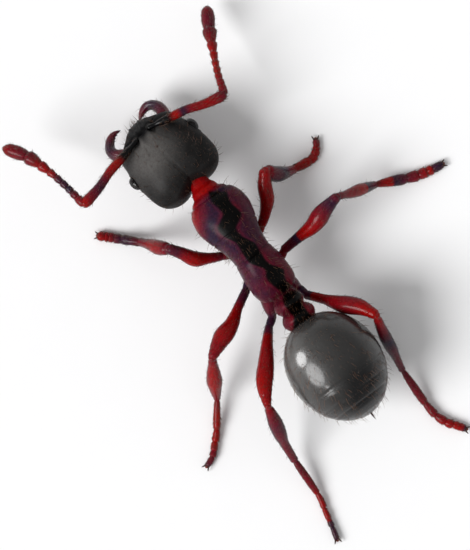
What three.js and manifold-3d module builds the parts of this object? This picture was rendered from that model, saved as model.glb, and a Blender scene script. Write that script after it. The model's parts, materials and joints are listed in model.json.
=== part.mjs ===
// Fire ant worker as a still, life-size model. Each body plate and each limb segment is one closed solid.
// Millimetres, +Z up. The ant faces -Y, so its own left side is +X. The origin is on the floor, under the
// middle of the whole model's box.

import * as THREE from 'three';
import Module from 'manifold-3d';

const wasm = await Module();
wasm.setup();

// ---------------------------------------------------------------------------------------------------------
// Driving dimensions
// ---------------------------------------------------------------------------------------------------------

const GAP = 0.03; // clear space between neighbouring solids
const LIMB_SIDES = 8; // sides of a limb's section
const CAP_RINGS = 2; // rings in the rounded end of a limb
const BODY_SIDES = 18; // sides of a body plate's section
const ROUND = 2; // squareness of an elliptical section
const FULL = 2.3; // squareness of a body section, a little fuller than an ellipse

const RED = '#8c0d0d';
const DARK_RED = '#4d1420';
const BLACK = '#2c2b2b';
const EYE_BLACK = '#120f10';
const PLATE_ROUGHNESS = 0.35;
const GLOSSY_ROUGHNESS = 0.2;

// The head is set on the neck at the nape, bowed forwards and turned towards the ant's left.
const NAPE = new THREE.Vector3(0.055, -1.33, 1.45);
const HEAD_BOW = THREE.MathUtils.degToRad(18);
const HEAD_TURN = THREE.MathUtils.degToRad(9.5);

// Rows along the head, from the back of the skull to the front of the face, in the head's own frame:
// [distance in front of the nape, half width, height of the crown, height of the throat].
const HEAD_ROWS = [
  [-0.03, 0, 0.02, 0.02],
  [0.03, 0.5, 0.33, -0.3],
  [0.13, 0.72, 0.45, -0.41],
  [0.33, 0.84, 0.55, -0.51],
  [0.65, 0.87, 0.61, -0.57],
  [1.0, 0.85, 0.61, -0.58],
  [1.32, 0.78, 0.54, -0.53],
  [1.57, 0.705, 0.44, -0.43],
  [1.72, 0.5, 0.32, -0.34],
  [1.86, 0.27, 0.16, -0.24],
  [1.95, 0, -0.05, -0.05],
];
const HEAD_RINGS = 18;
const HEAD_SIDES = 20;
const NOTCH_DEPTH = 0.12; // how far the middle of the back of the head is drawn in between its two lobes
const NOTCH_HALF_WIDTH = 0.26;
const NOTCH_REACH = 0.6; // how far forwards over the crown the notch fades out

const EYE_CENTRE = new THREE.Vector3(0.815, -1.0, 0.12); // in the head's frame, left side
const EYE_HALF_AXES = new THREE.Vector3(0.1, 0.155, 0.125);
const EYE_ROWS = 9;

// Centre line of a mandible in the head's frame, left side, from its hinge to its tip.
const MANDIBLE_LINE = [
  new THREE.Vector3(0.54, -1.62, -0.13),
  new THREE.Vector3(0.64, -1.9, -0.16),
  new THREE.Vector3(0.595, -2.07, -0.19),
  new THREE.Vector3(0.45, -2.14, -0.21),
  new THREE.Vector3(0.25, -2.1, -0.22),
];
const MANDIBLE_BASE_RADIUS = 0.15;
const MANDIBLE_TIP_RADIUS = 0.05;
const MANDIBLE_TALLNESS = 1.25; // height of its section over its width

// Antennae in the head's frame. The arch is how far the middle of the first part rises. The elbow and tip of
// each side differ, as the feelers are held apart.
const FEELER_RADIUS = 0.23;
const CLUB_RADII = [0.25, 0.2];
const CLUB_START = 0.6; // where the club starts along the part after the elbow
const SOCKET = new THREE.Vector3(0.2, -1.5, 0.54);
const ANTENNAE = {
  left: {
    elbow: new THREE.Vector3(1.83, -1.285, 0.84),
    tip: new THREE.Vector3(2.18, -3.37, 0.905),
    arch: 0.1,
  },
  right: {
    elbow: new THREE.Vector3(-1.765, -0.895, 0.42),
    tip: new THREE.Vector3(-2.82, -2.61, -0.1),
    arch: 0.12,
  },
};

// Rows along the trunk and waist: [Y, half width, top, bottom].
const NECK_ROWS = [
  [-1.46, 0.2, 1.6, 1.24],
  [-1.3, 0.24, 1.66, 1.18],
  [-1.17, 0.3, 1.72, 1.1],
];
const TRUNK_ROWS = [
  [-1.14, 0.3, 1.74, 1.12],
  [-1.03, 0.44, 1.9, 1.02],
  [-0.83, 0.57, 2.06, 0.97],
  [-0.54, 0.62, 2.16, 0.95],
  [-0.26, 0.565, 2.19, 0.95],
  [0.02, 0.47, 2.17, 0.95],
  [0.24, 0.42, 2.09, 0.95],
  [0.42, 0.405, 1.98, 0.95],
  [0.6, 0.43, 2.01, 0.95],
  [0.88, 0.465, 1.99, 0.96],
  [1.16, 0.465, 1.89, 1.0],
  [1.36, 0.41, 1.72, 1.06],
  [1.46, 0.28, 1.56, 1.15],
  [1.5, 0, 1.36, 1.36],
];
const PRONOTUM_END = -0.2; // the cut behind the pronotum
const MESOTHORAX_END = 0.42; // the cut behind the middle of the thorax
const PETIOLE_ROWS = [
  [1.53, 0.23, 1.57, 1.2],
  [1.6, 0.3, 1.8, 1.15],
  [1.68, 0.33, 1.91, 1.14],
  [1.76, 0.325, 1.9, 1.15],
  [1.82, 0.29, 1.77, 1.18],
  [1.86, 0.24, 1.63, 1.21],
];
const POSTPETIOLE_ROWS = [
  [1.89, 0.27, 1.62, 1.16],
  [1.96, 0.35, 1.75, 1.11],
  [2.04, 0.375, 1.8, 1.09],
  [2.12, 0.355, 1.77, 1.11],
  [2.175, 0.3, 1.68, 1.15],
];

// The gaster is an egg, cut into four rings of plates.
const GASTER_CENTRE = new THREE.Vector3(0, 3.37, 1.43);
const GASTER_HALF_AXES = new THREE.Vector3(0.99, 1.165, 0.82);
const GASTER_TAPER = 0.03; // how much narrower it is towards its tail end
const GASTER_ROWS = 13;
const GASTER_CUTS = [0.315, 0.645, 0.885]; // cuts between its plates, behind its centre
const GASTER_RINGS = [8, 3, 3, 3]; // rings of faces along each plate

// Legs. Every length is the same on both sides, and the pose is given leg by leg.
const LEG_SIZES = {
  fore: { trochanter: 0.2, femur: 1.31, tibia: 1.12, tarsus: 0.97, ankleHeight: 0.31 },
  mid: { trochanter: 0.22, femur: 1.86, tibia: 1.48, tarsus: 1.51, ankleHeight: 0.33 },
  hind: { trochanter: 0.24, femur: 1.97, tibia: 1.83, tarsus: 1.95, ankleHeight: 0.35 },
};
const COXA_TOPS = {
  fore: new THREE.Vector3(0.3, -0.5, 1.1),
  mid: new THREE.Vector3(0.27, 0.45, 1.06),
  hind: new THREE.Vector3(0.27, 1.12, 1.08),
};
// [pair, side, hip, femur heading, its sway to the rear, knee height, tibia heading, tarsus heading and its
// turn]. Headings and turns are degrees about +Z, and a heading of 0 is +X.
const LEG_POSES = [
  ['fore', 'left', [0.39, 0.17, 0.82], -42, 0.1, 1.24, -50, -45, 0],
  ['fore', 'right', [-0.39, 0.16, 0.82], -135, 0.06, 1.28, 152, 172, 66],
  ['mid', 'left', [0.4, 0.85, 0.82], 28, 0.08, 1.52, 59, 53, -32],
  ['mid', 'right', [-0.42, 0.86, 0.82], -169, 0, 1.53, 159, 158, 14],
  ['hind', 'left', [0.44, 1.74, 0.82], 50, -0.06, 1.62, 80, 82, -6],
  ['hind', 'right', [-0.36, 1.58, 0.7], 125, 0, 1.65, 79, 85, 42],
];
const COXA_RADII = [0.22, 0.25];
const TROCHANTER_RADIUS = 0.235;
const FEMUR_RADII = { ends: 0.235, most: 0.27, place: 0.6 }; // place is the share of the length
const TIBIA_RADII = { ends: 0.23, most: 0.255, place: 0.45 };
const SWELLING_SPREAD = 0.28; // share of the length over which a limb's swelling falls away
const TARSUS_RADIUS = 0.225;
const TARSUS_REST = 0.205; // height of a tarsus's centre line where it lies on the floor
const TARSUS_PARTS = [0.45, 0.18, 0.13, 0.09, 0.15]; // share of each of its five joints
const FEMUR_RISE = 0.03; // how far a femur's middle arches up, as a share of its length

// ---------------------------------------------------------------------------------------------------------
// Shapes
// ---------------------------------------------------------------------------------------------------------

/** A closed geometry from rings of points, each with the same number of points, and a point at each end. */
function skin(rings, first, last) {
  const sides = rings[0].length;
  const points = [first, ...rings.flat(), last];
  const ring = (r, s) => 1 + r * sides + (s % sides);
  const end = points.length - 1;
  const index = [];
  for (let s = 0; s < sides; s += 1) {
    index.push(0, ring(0, s + 1), ring(0, s));
    for (let r = 0; r + 1 < rings.length; r += 1) {
      index.push(ring(r, s), ring(r, s + 1), ring(r + 1, s));
      index.push(ring(r, s + 1), ring(r + 1, s + 1), ring(r + 1, s));
    }
    index.push(ring(rings.length - 1, s), ring(rings.length - 1, s + 1), end);
  }
  const geometry = new THREE.BufferGeometry().setFromPoints(points);
  geometry.setIndex(signedVolume(points, index) < 0 ? index.reverse() : index);
  return geometry;
}

function signedVolume(points, index) {
  let six = 0;
  for (let i = 0; i < index.length; i += 3) {
    const [a, b, c] = [points[index[i]], points[index[i + 1]], points[index[i + 2]]];
    six += a.dot(b.clone().cross(c));
  }
  return six / 6;
}

/** Smooth values between rows, at a place counted in rows. A row of no width is a rounded end. */
function between(rows, place) {
  const last = rows.length - 1;
  const i = Math.min(Math.floor(place), last - 1);
  const u = place - i;
  const row = (k) => {
    if (k < 0) return beyond(rows[0], rows[1]);
    if (k > last) return beyond(rows[last], rows[last - 1]);
    return rows[k];
  };
  return rows[i].map((unused, n) => {
    const [p, q, r, s] = [row(i - 1)[n], row(i)[n], row(i + 1)[n], row(i + 2)[n]];
    const cubic = -p + 3 * q - 3 * r + s;
    return 0.5 * (2 * q + (r - p) * u + (2 * p - 5 * q + 4 * r - s) * u ** 2 + cubic * u ** 3);
  });
}

/** The row past an end: mirrored through a rounded end, or carried straight on from an open one. */
function beyond(end, next) {
  if (end[1] === 0) return [next[0], -next[1], next[3], next[2]];
  return end.map((value, n) => 2 * value - next[n]);
}

/** The place, counted in rows, where the rows reach a given Y. */
function placeOf(rows, y) {
  let [low, high] = [0, rows.length - 1];
  for (let i = 0; i < 40; i += 1) {
    const middle = (low + high) / 2;
    if (between(rows, middle)[0] < y) low = middle;
    else high = middle;
  }
  return low;
}

/** A point of a body section. Squareness 2 is an ellipse, and more fills out its corners. */
function sectionPoint([y, half, top, bottom], angle, squareness) {
  const power = (value) => Math.sign(value) * Math.abs(value) ** (2 / squareness);
  const across = half * power(Math.cos(angle));
  const up = ((top - bottom) / 2) * power(Math.sin(angle));
  return new THREE.Vector3(across, y, (top + bottom) / 2 + up);
}

/** A body plate: a smooth skin through the rows from one place to another, closed flat where it is cut. */
function plate(rows, options = {}) {
  const { from = 0, to = rows.length - 1, rings = 8, sides = BODY_SIDES, squareness = FULL } = options;
  const sections = [];
  const places = [];
  for (let i = 0; i <= rings; i += 1) places.push(from + ((to - from) * i) / rings);
  for (const place of places) {
    const row = between(rows, place);
    if (row[1] < 1e-6) continue;
    const ring = [];
    for (let s = 0; s < sides; s += 1) ring.push(sectionPoint(row, (2 * Math.PI * s) / sides, squareness));
    sections.push(ring);
  }
  const middleOf = (place) => {
    const [y, , top, bottom] = between(rows, place);
    return new THREE.Vector3(0, y, (top + bottom) / 2);
  };
  return skin(sections, middleOf(from), middleOf(to));
}

/** Rows of an egg about its own centre, narrower by the taper towards its +Y end. */
function eggRows(halfAxes, count, taper = 0) {
  const rows = [];
  for (let i = 0; i < count; i += 1) {
    const angle = (Math.PI * i) / (count - 1);
    const along = -Math.cos(angle);
    const isEnd = i === 0 || i === count - 1;
    const width = isEnd ? 0 : Math.sin(angle) * (1 - taper * along);
    rows.push([along * halfAxes.y, width * halfAxes.x, width * halfAxes.z, -width * halfAxes.z]);
  }
  return rows;
}

/** Rows grown outwards by a margin, for cutting a neighbour clear. */
function grown(rows, margin) {
  const [start, end] = [rows[0][0], rows[rows.length - 1][0]];
  const stretch = 1 + (2 * margin) / Math.abs(end - start);
  return rows.map(([y, half, top, bottom]) => {
    const moved = (start + end) / 2 + (y - (start + end) / 2) * stretch;
    return half === 0 ? [moved, 0, top, bottom] : [moved, half + margin, top + margin, bottom - margin];
  });
}

/** A round limb along a curve, with rounded ends. Its section may be taller than wide. */
function limb(curve, radiusAt, { steps = 5, tall = 1 } = {}) {
  const rings = [];
  const addRing = (centre, tangent, radius) => {
    const side = new THREE.Vector3(0, 0, 1).cross(tangent).normalize();
    const up = tangent.clone().cross(side);
    const ring = [];
    for (let s = 0; s < LIMB_SIDES; s += 1) {
      const angle = (2 * Math.PI * (s + 0.5)) / LIMB_SIDES;
      const out = side.clone().multiplyScalar(Math.cos(angle) * radius);
      ring.push(centre.clone().add(out).addScaledVector(up, Math.sin(angle) * radius * tall));
    }
    rings.push(ring);
  };
  const [start, end] = [curve.getPointAt(0), curve.getPointAt(1)];
  const [startWay, endWay] = [curve.getTangentAt(0), curve.getTangentAt(1)];
  const [startRadius, endRadius] = [radiusAt(0), radiusAt(1)];
  for (let c = 1; c <= CAP_RINGS; c += 1) {
    const angle = (Math.PI / 2) * (c / (CAP_RINGS + 1));
    const centre = start.clone().addScaledVector(startWay, -startRadius * Math.cos(angle));
    addRing(centre, startWay, startRadius * Math.sin(angle));
  }
  for (let i = 0; i <= steps; i += 1) {
    addRing(curve.getPointAt(i / steps), curve.getTangentAt(i / steps), radiusAt(i / steps));
  }
  for (let c = CAP_RINGS; c >= 1; c -= 1) {
    const angle = (Math.PI / 2) * (c / (CAP_RINGS + 1));
    const centre = end.clone().addScaledVector(endWay, endRadius * Math.cos(angle));
    addRing(centre, endWay, endRadius * Math.sin(angle));
  }
  const first = start.clone().addScaledVector(startWay, -startRadius);
  const last = end.clone().addScaledVector(endWay, endRadius);
  return skin(rings, first, last);
}

/** A gently bowed centre line from one point to another. */
function bowed(start, end, bow) {
  const middle = start.clone().add(end).multiplyScalar(0.5).addScaledVector(bow, 2);
  return new THREE.QuadraticBezierCurve3(start, middle, end);
}

/** A curve that stops short of its end by a given length. */
function shortened(curve, length) {
  const keep = 1 - length / curve.getLength();
  return {
    getPointAt: (t) => curve.getPointAt(t * keep),
    getTangentAt: (t) => curve.getTangentAt(t * keep),
  };
}

/** Radius along a limb that swells near a place and is the same at both ends. */
function swelling({ ends, most, place }) {
  return (t) => ends + (most - ends) * Math.exp(-(((t - place) / SWELLING_SPREAD) ** 2));
}

/** Presses what lies beyond a plane flat onto it, which parts two limbs at a joint. */
function press(geometry, point, normal) {
  const position = geometry.attributes.position;
  const corner = new THREE.Vector3();
  for (let i = 0; i < position.count; i += 1) {
    corner.fromBufferAttribute(position, i);
    const past = corner.clone().sub(point).dot(normal);
    if (past > 0) position.setXYZ(i, ...corner.addScaledVector(normal, -past));
  }
  return geometry;
}

/** Parts two limbs at the joint between them, each ending flat on the plane that halves the bend. */
function hinge(before, after, joint, wayIn, wayOut) {
  const normal = wayIn.clone().add(wayOut).normalize();
  press(before, joint.clone().addScaledVector(normal, -GAP / 2), normal);
  press(after, joint.clone().addScaledVector(normal, GAP / 2), normal.clone().negate());
}

function toSolid(geometry, matrix = new THREE.Matrix4()) {
  const moved = geometry.clone().applyMatrix4(matrix);
  const vertProperties = Float32Array.from(moved.attributes.position.array);
  const triVerts = Uint32Array.from(moved.index.array);
  return new wasm.Manifold(new wasm.Mesh({ numProp: 3, vertProperties, triVerts }));
}

/** A geometry with the space of others cut away. */
function without(geometry, ...cutters) {
  let body = toSolid(geometry);
  for (const cutter of cutters) body = body.subtract(cutter);
  const mesh = body.getMesh();
  const result = new THREE.BufferGeometry();
  result.setAttribute('position', new THREE.BufferAttribute(mesh.vertProperties, 3));
  result.setIndex(new THREE.BufferAttribute(mesh.triVerts, 1));
  return result;
}

function mirrored(vector, side) {
  return new THREE.Vector3(side === 'left' ? vector.x : -vector.x, vector.y, vector.z);
}

function addPart(group, name, geometry, color, roughness = PLATE_ROUGHNESS) {
  geometry.computeVertexNormals();
  const mesh = new THREE.Mesh(geometry, new THREE.MeshStandardMaterial({ color, roughness, metalness: 0 }));
  mesh.name = name;
  group.add(mesh);
}

// ---------------------------------------------------------------------------------------------------------
// Head, eyes, mandibles and antennae, in the head's own frame
// ---------------------------------------------------------------------------------------------------------

/** The back of the head drawn in between its two lobes. */
function notchedHead(rows) {
  const backwards = rows.map(([ahead, ...rest]) => [-ahead, ...rest]);
  const geometry = plate(backwards, { rings: HEAD_RINGS, sides: HEAD_SIDES });
  const position = geometry.attributes.position;
  for (let i = 0; i < position.count; i += 1) {
    const ahead = -position.getY(i);
    const sideways = Math.exp(-((position.getX(i) / NOTCH_HALF_WIDTH) ** 2));
    const fade = THREE.MathUtils.clamp(1 - ahead / NOTCH_REACH, 0, 1);
    position.setY(i, position.getY(i) - NOTCH_DEPTH * sideways * fade);
  }
  return geometry;
}

function eyeball(side, margin = 0) {
  const rows = eggRows(EYE_HALF_AXES.clone().addScalar(margin), EYE_ROWS);
  const shape = plate(rows, { rings: EYE_ROWS - 1, sides: 12, squareness: ROUND });
  return shape.translate(...mirrored(EYE_CENTRE, side));
}

function mandible(side) {
  const line = new THREE.CatmullRomCurve3(MANDIBLE_LINE.map((point) => mirrored(point, side)));
  const radiusAt = (t) => THREE.MathUtils.lerp(MANDIBLE_BASE_RADIUS, MANDIBLE_TIP_RADIUS, t ** 1.4);
  return limb(line, radiusAt, { steps: 7, tall: MANDIBLE_TALLNESS });
}

function antenna(side) {
  const socket = mirrored(SOCKET, side);
  const { elbow, tip, arch } = ANTENNAE[side];
  const along = tip.clone().sub(elbow);
  const clubStart = elbow.clone().addScaledVector(along, CLUB_START);
  const scapeLine = bowed(socket, elbow, new THREE.Vector3(0, 0, arch));
  const round = () => FEELER_RADIUS;
  const scape = limb(scapeLine, round);
  const funiculus = limb(new THREE.LineCurve3(elbow, clubStart), round, { steps: 3 });
  const clubLine = shortened(new THREE.LineCurve3(clubStart, tip), CLUB_RADII[1]);
  const club = limb(clubLine, (t) => THREE.MathUtils.lerp(...CLUB_RADII, t ** 2), { steps: 4 });
  hinge(scape, funiculus, elbow, scapeLine.getTangentAt(1), along.clone().normalize());
  hinge(funiculus, club, clubStart, along.clone().normalize(), along.clone().normalize());
  return { scape, funiculus, club };
}

const headGroup = new THREE.Group();
headGroup.position.copy(NAPE);
headGroup.rotation.set(HEAD_BOW, 0, HEAD_TURN, 'ZXY');
headGroup.updateMatrix();

const grownHead = toSolid(notchedHead(grown(HEAD_ROWS, GAP)));
const bothSides = ['left', 'right'];
const pockets = bothSides.map((side) => toSolid(eyeball(side, GAP)));
addPart(headGroup, 'head', without(notchedHead(HEAD_ROWS), ...pockets), BLACK);
for (const side of bothSides) {
  const { scape, funiculus, club } = antenna(side);
  addPart(headGroup, `eye_${side}`, eyeball(side), EYE_BLACK, GLOSSY_ROUGHNESS);
  addPart(headGroup, `mandible_${side}`, without(mandible(side), grownHead), DARK_RED);
  addPart(headGroup, `scape_${side}`, without(scape, grownHead), RED);
  addPart(headGroup, `funiculus_${side}`, funiculus, RED);
  addPart(headGroup, `club_${side}`, club, DARK_RED);
}

// ---------------------------------------------------------------------------------------------------------
// Trunk, waist and gaster
// ---------------------------------------------------------------------------------------------------------

const trunkEnd = TRUNK_ROWS.length - 1;
const afterCut = (y) => placeOf(TRUNK_ROWS, y + GAP);
const thoraxPlates = {
  pronotum: { from: 0, to: placeOf(TRUNK_ROWS, PRONOTUM_END), rings: 8 },
  mesothorax: { from: afterCut(PRONOTUM_END), to: placeOf(TRUNK_ROWS, MESOTHORAX_END), rings: 5 },
  propodeum: { from: afterCut(MESOTHORAX_END), to: trunkEnd, rings: 9 },
};

const ant = new THREE.Group();
ant.add(headGroup);
const neck = plate(NECK_ROWS, { rings: 3, sides: 14 });
const headInPlace = toSolid(notchedHead(grown(HEAD_ROWS, GAP)), headGroup.matrix);
addPart(ant, 'neck', without(neck, headInPlace), RED);
for (const [name, stretch] of Object.entries(thoraxPlates)) {
  addPart(ant, name, plate(TRUNK_ROWS, stretch), DARK_RED);
}
addPart(ant, 'petiole', plate(PETIOLE_ROWS, { rings: 8, sides: 14 }), DARK_RED);
addPart(ant, 'postpetiole', plate(POSTPETIOLE_ROWS, { rings: 7, sides: 14 }), DARK_RED);

const egg = eggRows(GASTER_HALF_AXES, GASTER_ROWS, GASTER_TAPER);
GASTER_RINGS.forEach((rings, i) => {
  const from = i === 0 ? 0 : placeOf(egg, GASTER_CUTS[i - 1] + GAP);
  const to = i === GASTER_CUTS.length ? egg.length - 1 : placeOf(egg, GASTER_CUTS[i]);
  const ring = plate(egg, { from, to, rings, squareness: ROUND }).translate(...GASTER_CENTRE);
  addPart(ant, `gaster_${i + 1}`, ring, BLACK, GLOSSY_ROUGHNESS);
});

// ---------------------------------------------------------------------------------------------------------
// Legs
// ---------------------------------------------------------------------------------------------------------

const heading = (degrees) => new THREE.Vector3(1, 0, 0).applyAxisAngle(
  new THREE.Vector3(0, 0, 1),
  THREE.MathUtils.degToRad(degrees),
);

/** The point reached from another on a heading, at a given height and a given straight distance away. */
function reach(start, headingDegrees, height, length) {
  const level = Math.sqrt(length ** 2 - (height - start.z) ** 2);
  const point = start.clone().addScaledVector(heading(headingDegrees), level);
  point.z = height;
  return point;
}

/** The points of a tarsus: the ankle, then the end of each of its five joints along the floor. */
function tarsusPoints(ankle, length, startHeading, turn) {
  const points = [ankle];
  TARSUS_PARTS.forEach((share, i) => {
    const degrees = startHeading + (turn * i) / (TARSUS_PARTS.length - 1);
    points.push(reach(points[i], degrees, TARSUS_REST, share * length));
  });
  return points;
}

function leg([pair, side, hipPlace, femurHeading, sway, kneeHeight, tibiaHeading, tarsusHeading, turn]) {
  const size = LEG_SIZES[pair];
  const top = mirrored(COXA_TOPS[pair], side);
  const hip = new THREE.Vector3(...hipPlace);
  const knee = reach(hip, femurHeading, kneeHeight, size.femur);
  const ankle = reach(knee, tibiaHeading, size.ankleHeight, size.tibia);
  const thighWay = knee.clone().sub(hip).normalize();
  const trochanterEnd = hip.clone().addScaledVector(thighWay, size.trochanter);

  const tailwards = heading(femurHeading + (side === 'left' ? 90 : -90));
  const femurBow = new THREE.Vector3(0, 0, FEMUR_RISE * size.femur).addScaledVector(tailwards, sway);
  const coxaLine = new THREE.LineCurve3(top, hip);
  const femurLine = bowed(trochanterEnd, knee, femurBow);
  const tibiaLine = new THREE.LineCurve3(knee, ankle);
  const footPoints = tarsusPoints(ankle, size.tarsus, tarsusHeading, turn);
  const footLine = shortened(new THREE.CatmullRomCurve3(footPoints, false, 'centripetal'), TARSUS_RADIUS);

  const coxa = limb(coxaLine, (t) => THREE.MathUtils.lerp(...COXA_RADII, t), { steps: 3 });
  const trochanter = limb(new THREE.LineCurve3(hip, trochanterEnd), () => TROCHANTER_RADIUS, { steps: 1 });
  const femur = limb(femurLine, swelling(FEMUR_RADII), { steps: 5 });
  const tibia = limb(tibiaLine, swelling(TIBIA_RADII), { steps: 4 });
  const tarsus = limb(footLine, () => TARSUS_RADIUS, { steps: 7 });

  hinge(coxa, trochanter, hip, coxaLine.getTangentAt(1), thighWay);
  hinge(trochanter, femur, trochanterEnd, thighWay, femurLine.getTangentAt(0));
  hinge(femur, tibia, knee, femurLine.getTangentAt(1), tibiaLine.getTangentAt(0));
  hinge(tibia, tarsus, ankle, tibiaLine.getTangentAt(1), footLine.getTangentAt(0));
  press(tarsus, new THREE.Vector3(0, 0, 0), new THREE.Vector3(0, 0, -1));
  return { coxa, trochanter, femur, tibia, tarsus };
}

const grownTrunk = toSolid(plate(grown(TRUNK_ROWS, GAP), { rings: 26 }));
const grownNeck = toSolid(plate(grown(NECK_ROWS, GAP), { rings: 3, sides: 14 }));
const grownEgg = plate(grown(egg, GAP), { rings: 24, squareness: ROUND });
const grownGaster = toSolid(grownEgg.translate(...GASTER_CENTRE));
for (const pose of LEG_POSES) {
  const segments = leg(pose);
  for (const [name, geometry] of Object.entries(segments)) {
    const cutters = name === 'coxa' ? [grownTrunk, grownNeck] : [grownTrunk, grownGaster];
    const shape = name === 'tarsus' ? geometry : without(geometry, ...cutters);
    addPart(ant, `${pose[0]}_${pose[1]}_${name}`, shape, RED);
  }
}

// ---------------------------------------------------------------------------------------------------------
// Origin on the floor, under the middle of the box
// ---------------------------------------------------------------------------------------------------------

ant.updateMatrixWorld(true);
const box = new THREE.Box3().setFromObject(ant, true);
const middle = box.getCenter(new THREE.Vector3());
ant.position.set(-middle.x, -middle.y, -box.min.z);

export default ant;
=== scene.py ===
"""Looks of a life-size fire ant worker: shell plates, limbs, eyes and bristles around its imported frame.

Shapes are worked out in millimetres in two homes: the body's, whose origin is on the floor under the trunk
with the ant facing -Y and its own left at +X, and the head's, whose origin is the nape.
"""

import json
import math

import bpy
import numpy as np
from mathutils import Matrix, Vector

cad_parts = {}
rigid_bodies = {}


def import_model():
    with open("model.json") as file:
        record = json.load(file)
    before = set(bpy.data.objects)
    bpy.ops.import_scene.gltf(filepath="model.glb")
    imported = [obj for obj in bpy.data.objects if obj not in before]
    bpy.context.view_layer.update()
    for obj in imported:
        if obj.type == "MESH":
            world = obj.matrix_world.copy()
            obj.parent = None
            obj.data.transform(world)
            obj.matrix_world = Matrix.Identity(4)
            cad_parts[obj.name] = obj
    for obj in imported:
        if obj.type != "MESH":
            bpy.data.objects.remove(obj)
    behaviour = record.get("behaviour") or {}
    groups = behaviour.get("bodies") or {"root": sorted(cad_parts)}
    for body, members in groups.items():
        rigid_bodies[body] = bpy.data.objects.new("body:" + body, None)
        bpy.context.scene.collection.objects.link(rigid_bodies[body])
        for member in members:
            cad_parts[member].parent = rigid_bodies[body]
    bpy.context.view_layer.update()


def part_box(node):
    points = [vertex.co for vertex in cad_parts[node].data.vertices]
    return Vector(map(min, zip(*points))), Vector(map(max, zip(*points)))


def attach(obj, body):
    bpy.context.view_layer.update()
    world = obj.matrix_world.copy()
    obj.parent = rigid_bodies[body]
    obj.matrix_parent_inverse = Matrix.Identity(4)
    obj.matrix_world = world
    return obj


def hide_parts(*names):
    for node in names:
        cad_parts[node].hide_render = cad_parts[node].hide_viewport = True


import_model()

bl_info = {
    "name": "Fire Ant Builder",
    "version": (1, 0, 0),
    "blender": (4, 5, 0),
    "location": "View3D > Sidebar > Fire Ant",
    "description": "Builds the shell, limbs, eyes, bristles and studio of a life-size fire ant",
    "category": "Add Mesh",
}


MM = 0.001
SIDES = ("left", "right")
OUTWARD = {"left": 1, "right": -1}  # the way along X that each side of the ant faces
UP = np.array([0.0, 0.0, 1.0])
SEED = 1758


# ---------------------------------------------------------------------------------------------------------
# Homes: where the body's and the head's own millimetres lie in the frame
# ---------------------------------------------------------------------------------------------------------

PETIOLE_START = 1.53  # how far the petiole starts behind the body's origin
HEAD_BOW = math.radians(18)
HEAD_TURN = math.radians(9.5)
EYE_CENTRE = np.array([0.84, -1.0, 0.12])  # in the head's home, left side
EYE_HALF_AXES = np.array([0.112, 0.165, 0.13])


def box_mm(node):
    """A node's lowest and highest corners, in millimetres."""
    return [np.array(corner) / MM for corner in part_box(node)]


def body_home():
    """The body's turn and origin. The body isn't turned in the frame."""
    low, high = box_mm("petiole")
    return np.eye(3), np.array([(low[0] + high[0]) / 2, low[1] - PETIOLE_START, 0.0])


def head_home():
    """The head's turn and origin, found from the middle between the eyes."""
    turned = np.array(Matrix.Rotation(HEAD_TURN, 3, "Z") @ Matrix.Rotation(HEAD_BOW, 3, "X"))
    between_eyes = sum(sum(box_mm(f"eye_{side}")) for side in SIDES) / 4
    return turned, between_eyes - turned @ (EYE_CENTRE * [0, 1, 1])


BODY = body_home()
HEAD = head_home()


# ---------------------------------------------------------------------------------------------------------
# Settings
# ---------------------------------------------------------------------------------------------------------


def colour_property(name, description, default):
    return bpy.props.FloatVectorProperty(name=name, description=description, default=default,
                                         subtype="COLOR", size=3, min=0, max=1)


def number_property(name, description, default, lowest, highest):
    return bpy.props.FloatProperty(name=name, description=description, default=default,
                                   min=lowest, max=highest)


class AntColours(bpy.types.PropertyGroup):
    bright: colour_property("Bright red", "Limbs where they are lightest", (0.26, 0.0022, 0.0018))
    plum: colour_property("Plum", "Dark bands of the limbs", (0.02, 0.009, 0.026))
    band: colour_property("Band", "Zigzag along the back", (0.0012, 0.001, 0.001))
    # The head's and the gaster's bright tones are what their painted highlights lighten the shell towards
    head: colour_property("Head", "Head where it is lightest", (0.092, 0.088, 0.084))
    gaster: colour_property("Gaster", "Gaster where it is lightest", (0.064, 0.062, 0.059))
    soot: colour_property("Soot", "Darkest shell", (0.0025, 0.0025, 0.0029))
    gold: colour_property("Bristles", "Tips of the bristles", (0.11, 0.048, 0.018))
    horn: colour_property("Horn", "Claws, teeth and sting", (0.035, 0.008, 0.004))
    skin: colour_property("Joint skin", "Soft skin in the joints", (0.2, 0.035, 0.02))


class AntBristles(bpy.types.PropertyGroup):
    count: number_property("Count", "Share of the full number of bristles", 1, 0.1, 1)
    length: number_property("Length", "Length of the long bristles, in millimetres", 0.19, 0.05, 0.4)


class AntStudio(bpy.types.PropertyGroup):
    key: number_property("Key light", "Strength of the main light, in watts per square metre", 3.1, 0, 100)
    horizon: number_property("Horizon", "Brightness of the pale surroundings", 1.0, 0, 4)
    overhead: number_property("Overhead", "Brightness straight above", 0.4, 0, 4)
    floor: colour_property("Floor", "Pale studio floor", (0.93, 0.93, 0.935))


# ---------------------------------------------------------------------------------------------------------
# Numbers along lines and rows
# ---------------------------------------------------------------------------------------------------------


def smooth(low, high, value):
    """0 below low, 1 above high, and eased between."""
    share = np.clip((value - low) / (high - low), 0, 1)
    return share * share * (3 - 2 * share)


def profile(stops, place):
    """Smooth values through (place, value) stops, with no overshoot."""
    x, y = np.array(stops, float).T
    place = np.clip(place, x[0], x[-1])
    step = np.diff(x)
    slope = np.diff(y) / step
    both = slope[:-1] * slope[1:]
    inner = np.where(both > 0, 2 * both / np.where(both > 0, slope[:-1] + slope[1:], 1), 0)
    lean = np.concatenate([slope[:1], inner, slope[-1:]])
    i = np.clip(np.searchsorted(x, place, side="right") - 1, 0, len(x) - 2)
    t = (place - x[i]) / step[i]
    ends = (2 * t**3 - 3 * t**2 + 1) * y[i] + (3 * t**2 - 2 * t**3) * y[i + 1]
    return ends + step[i] * ((t**3 - 2 * t**2 + t) * lean[i] + (t**3 - t**2) * lean[i + 1])


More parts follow.
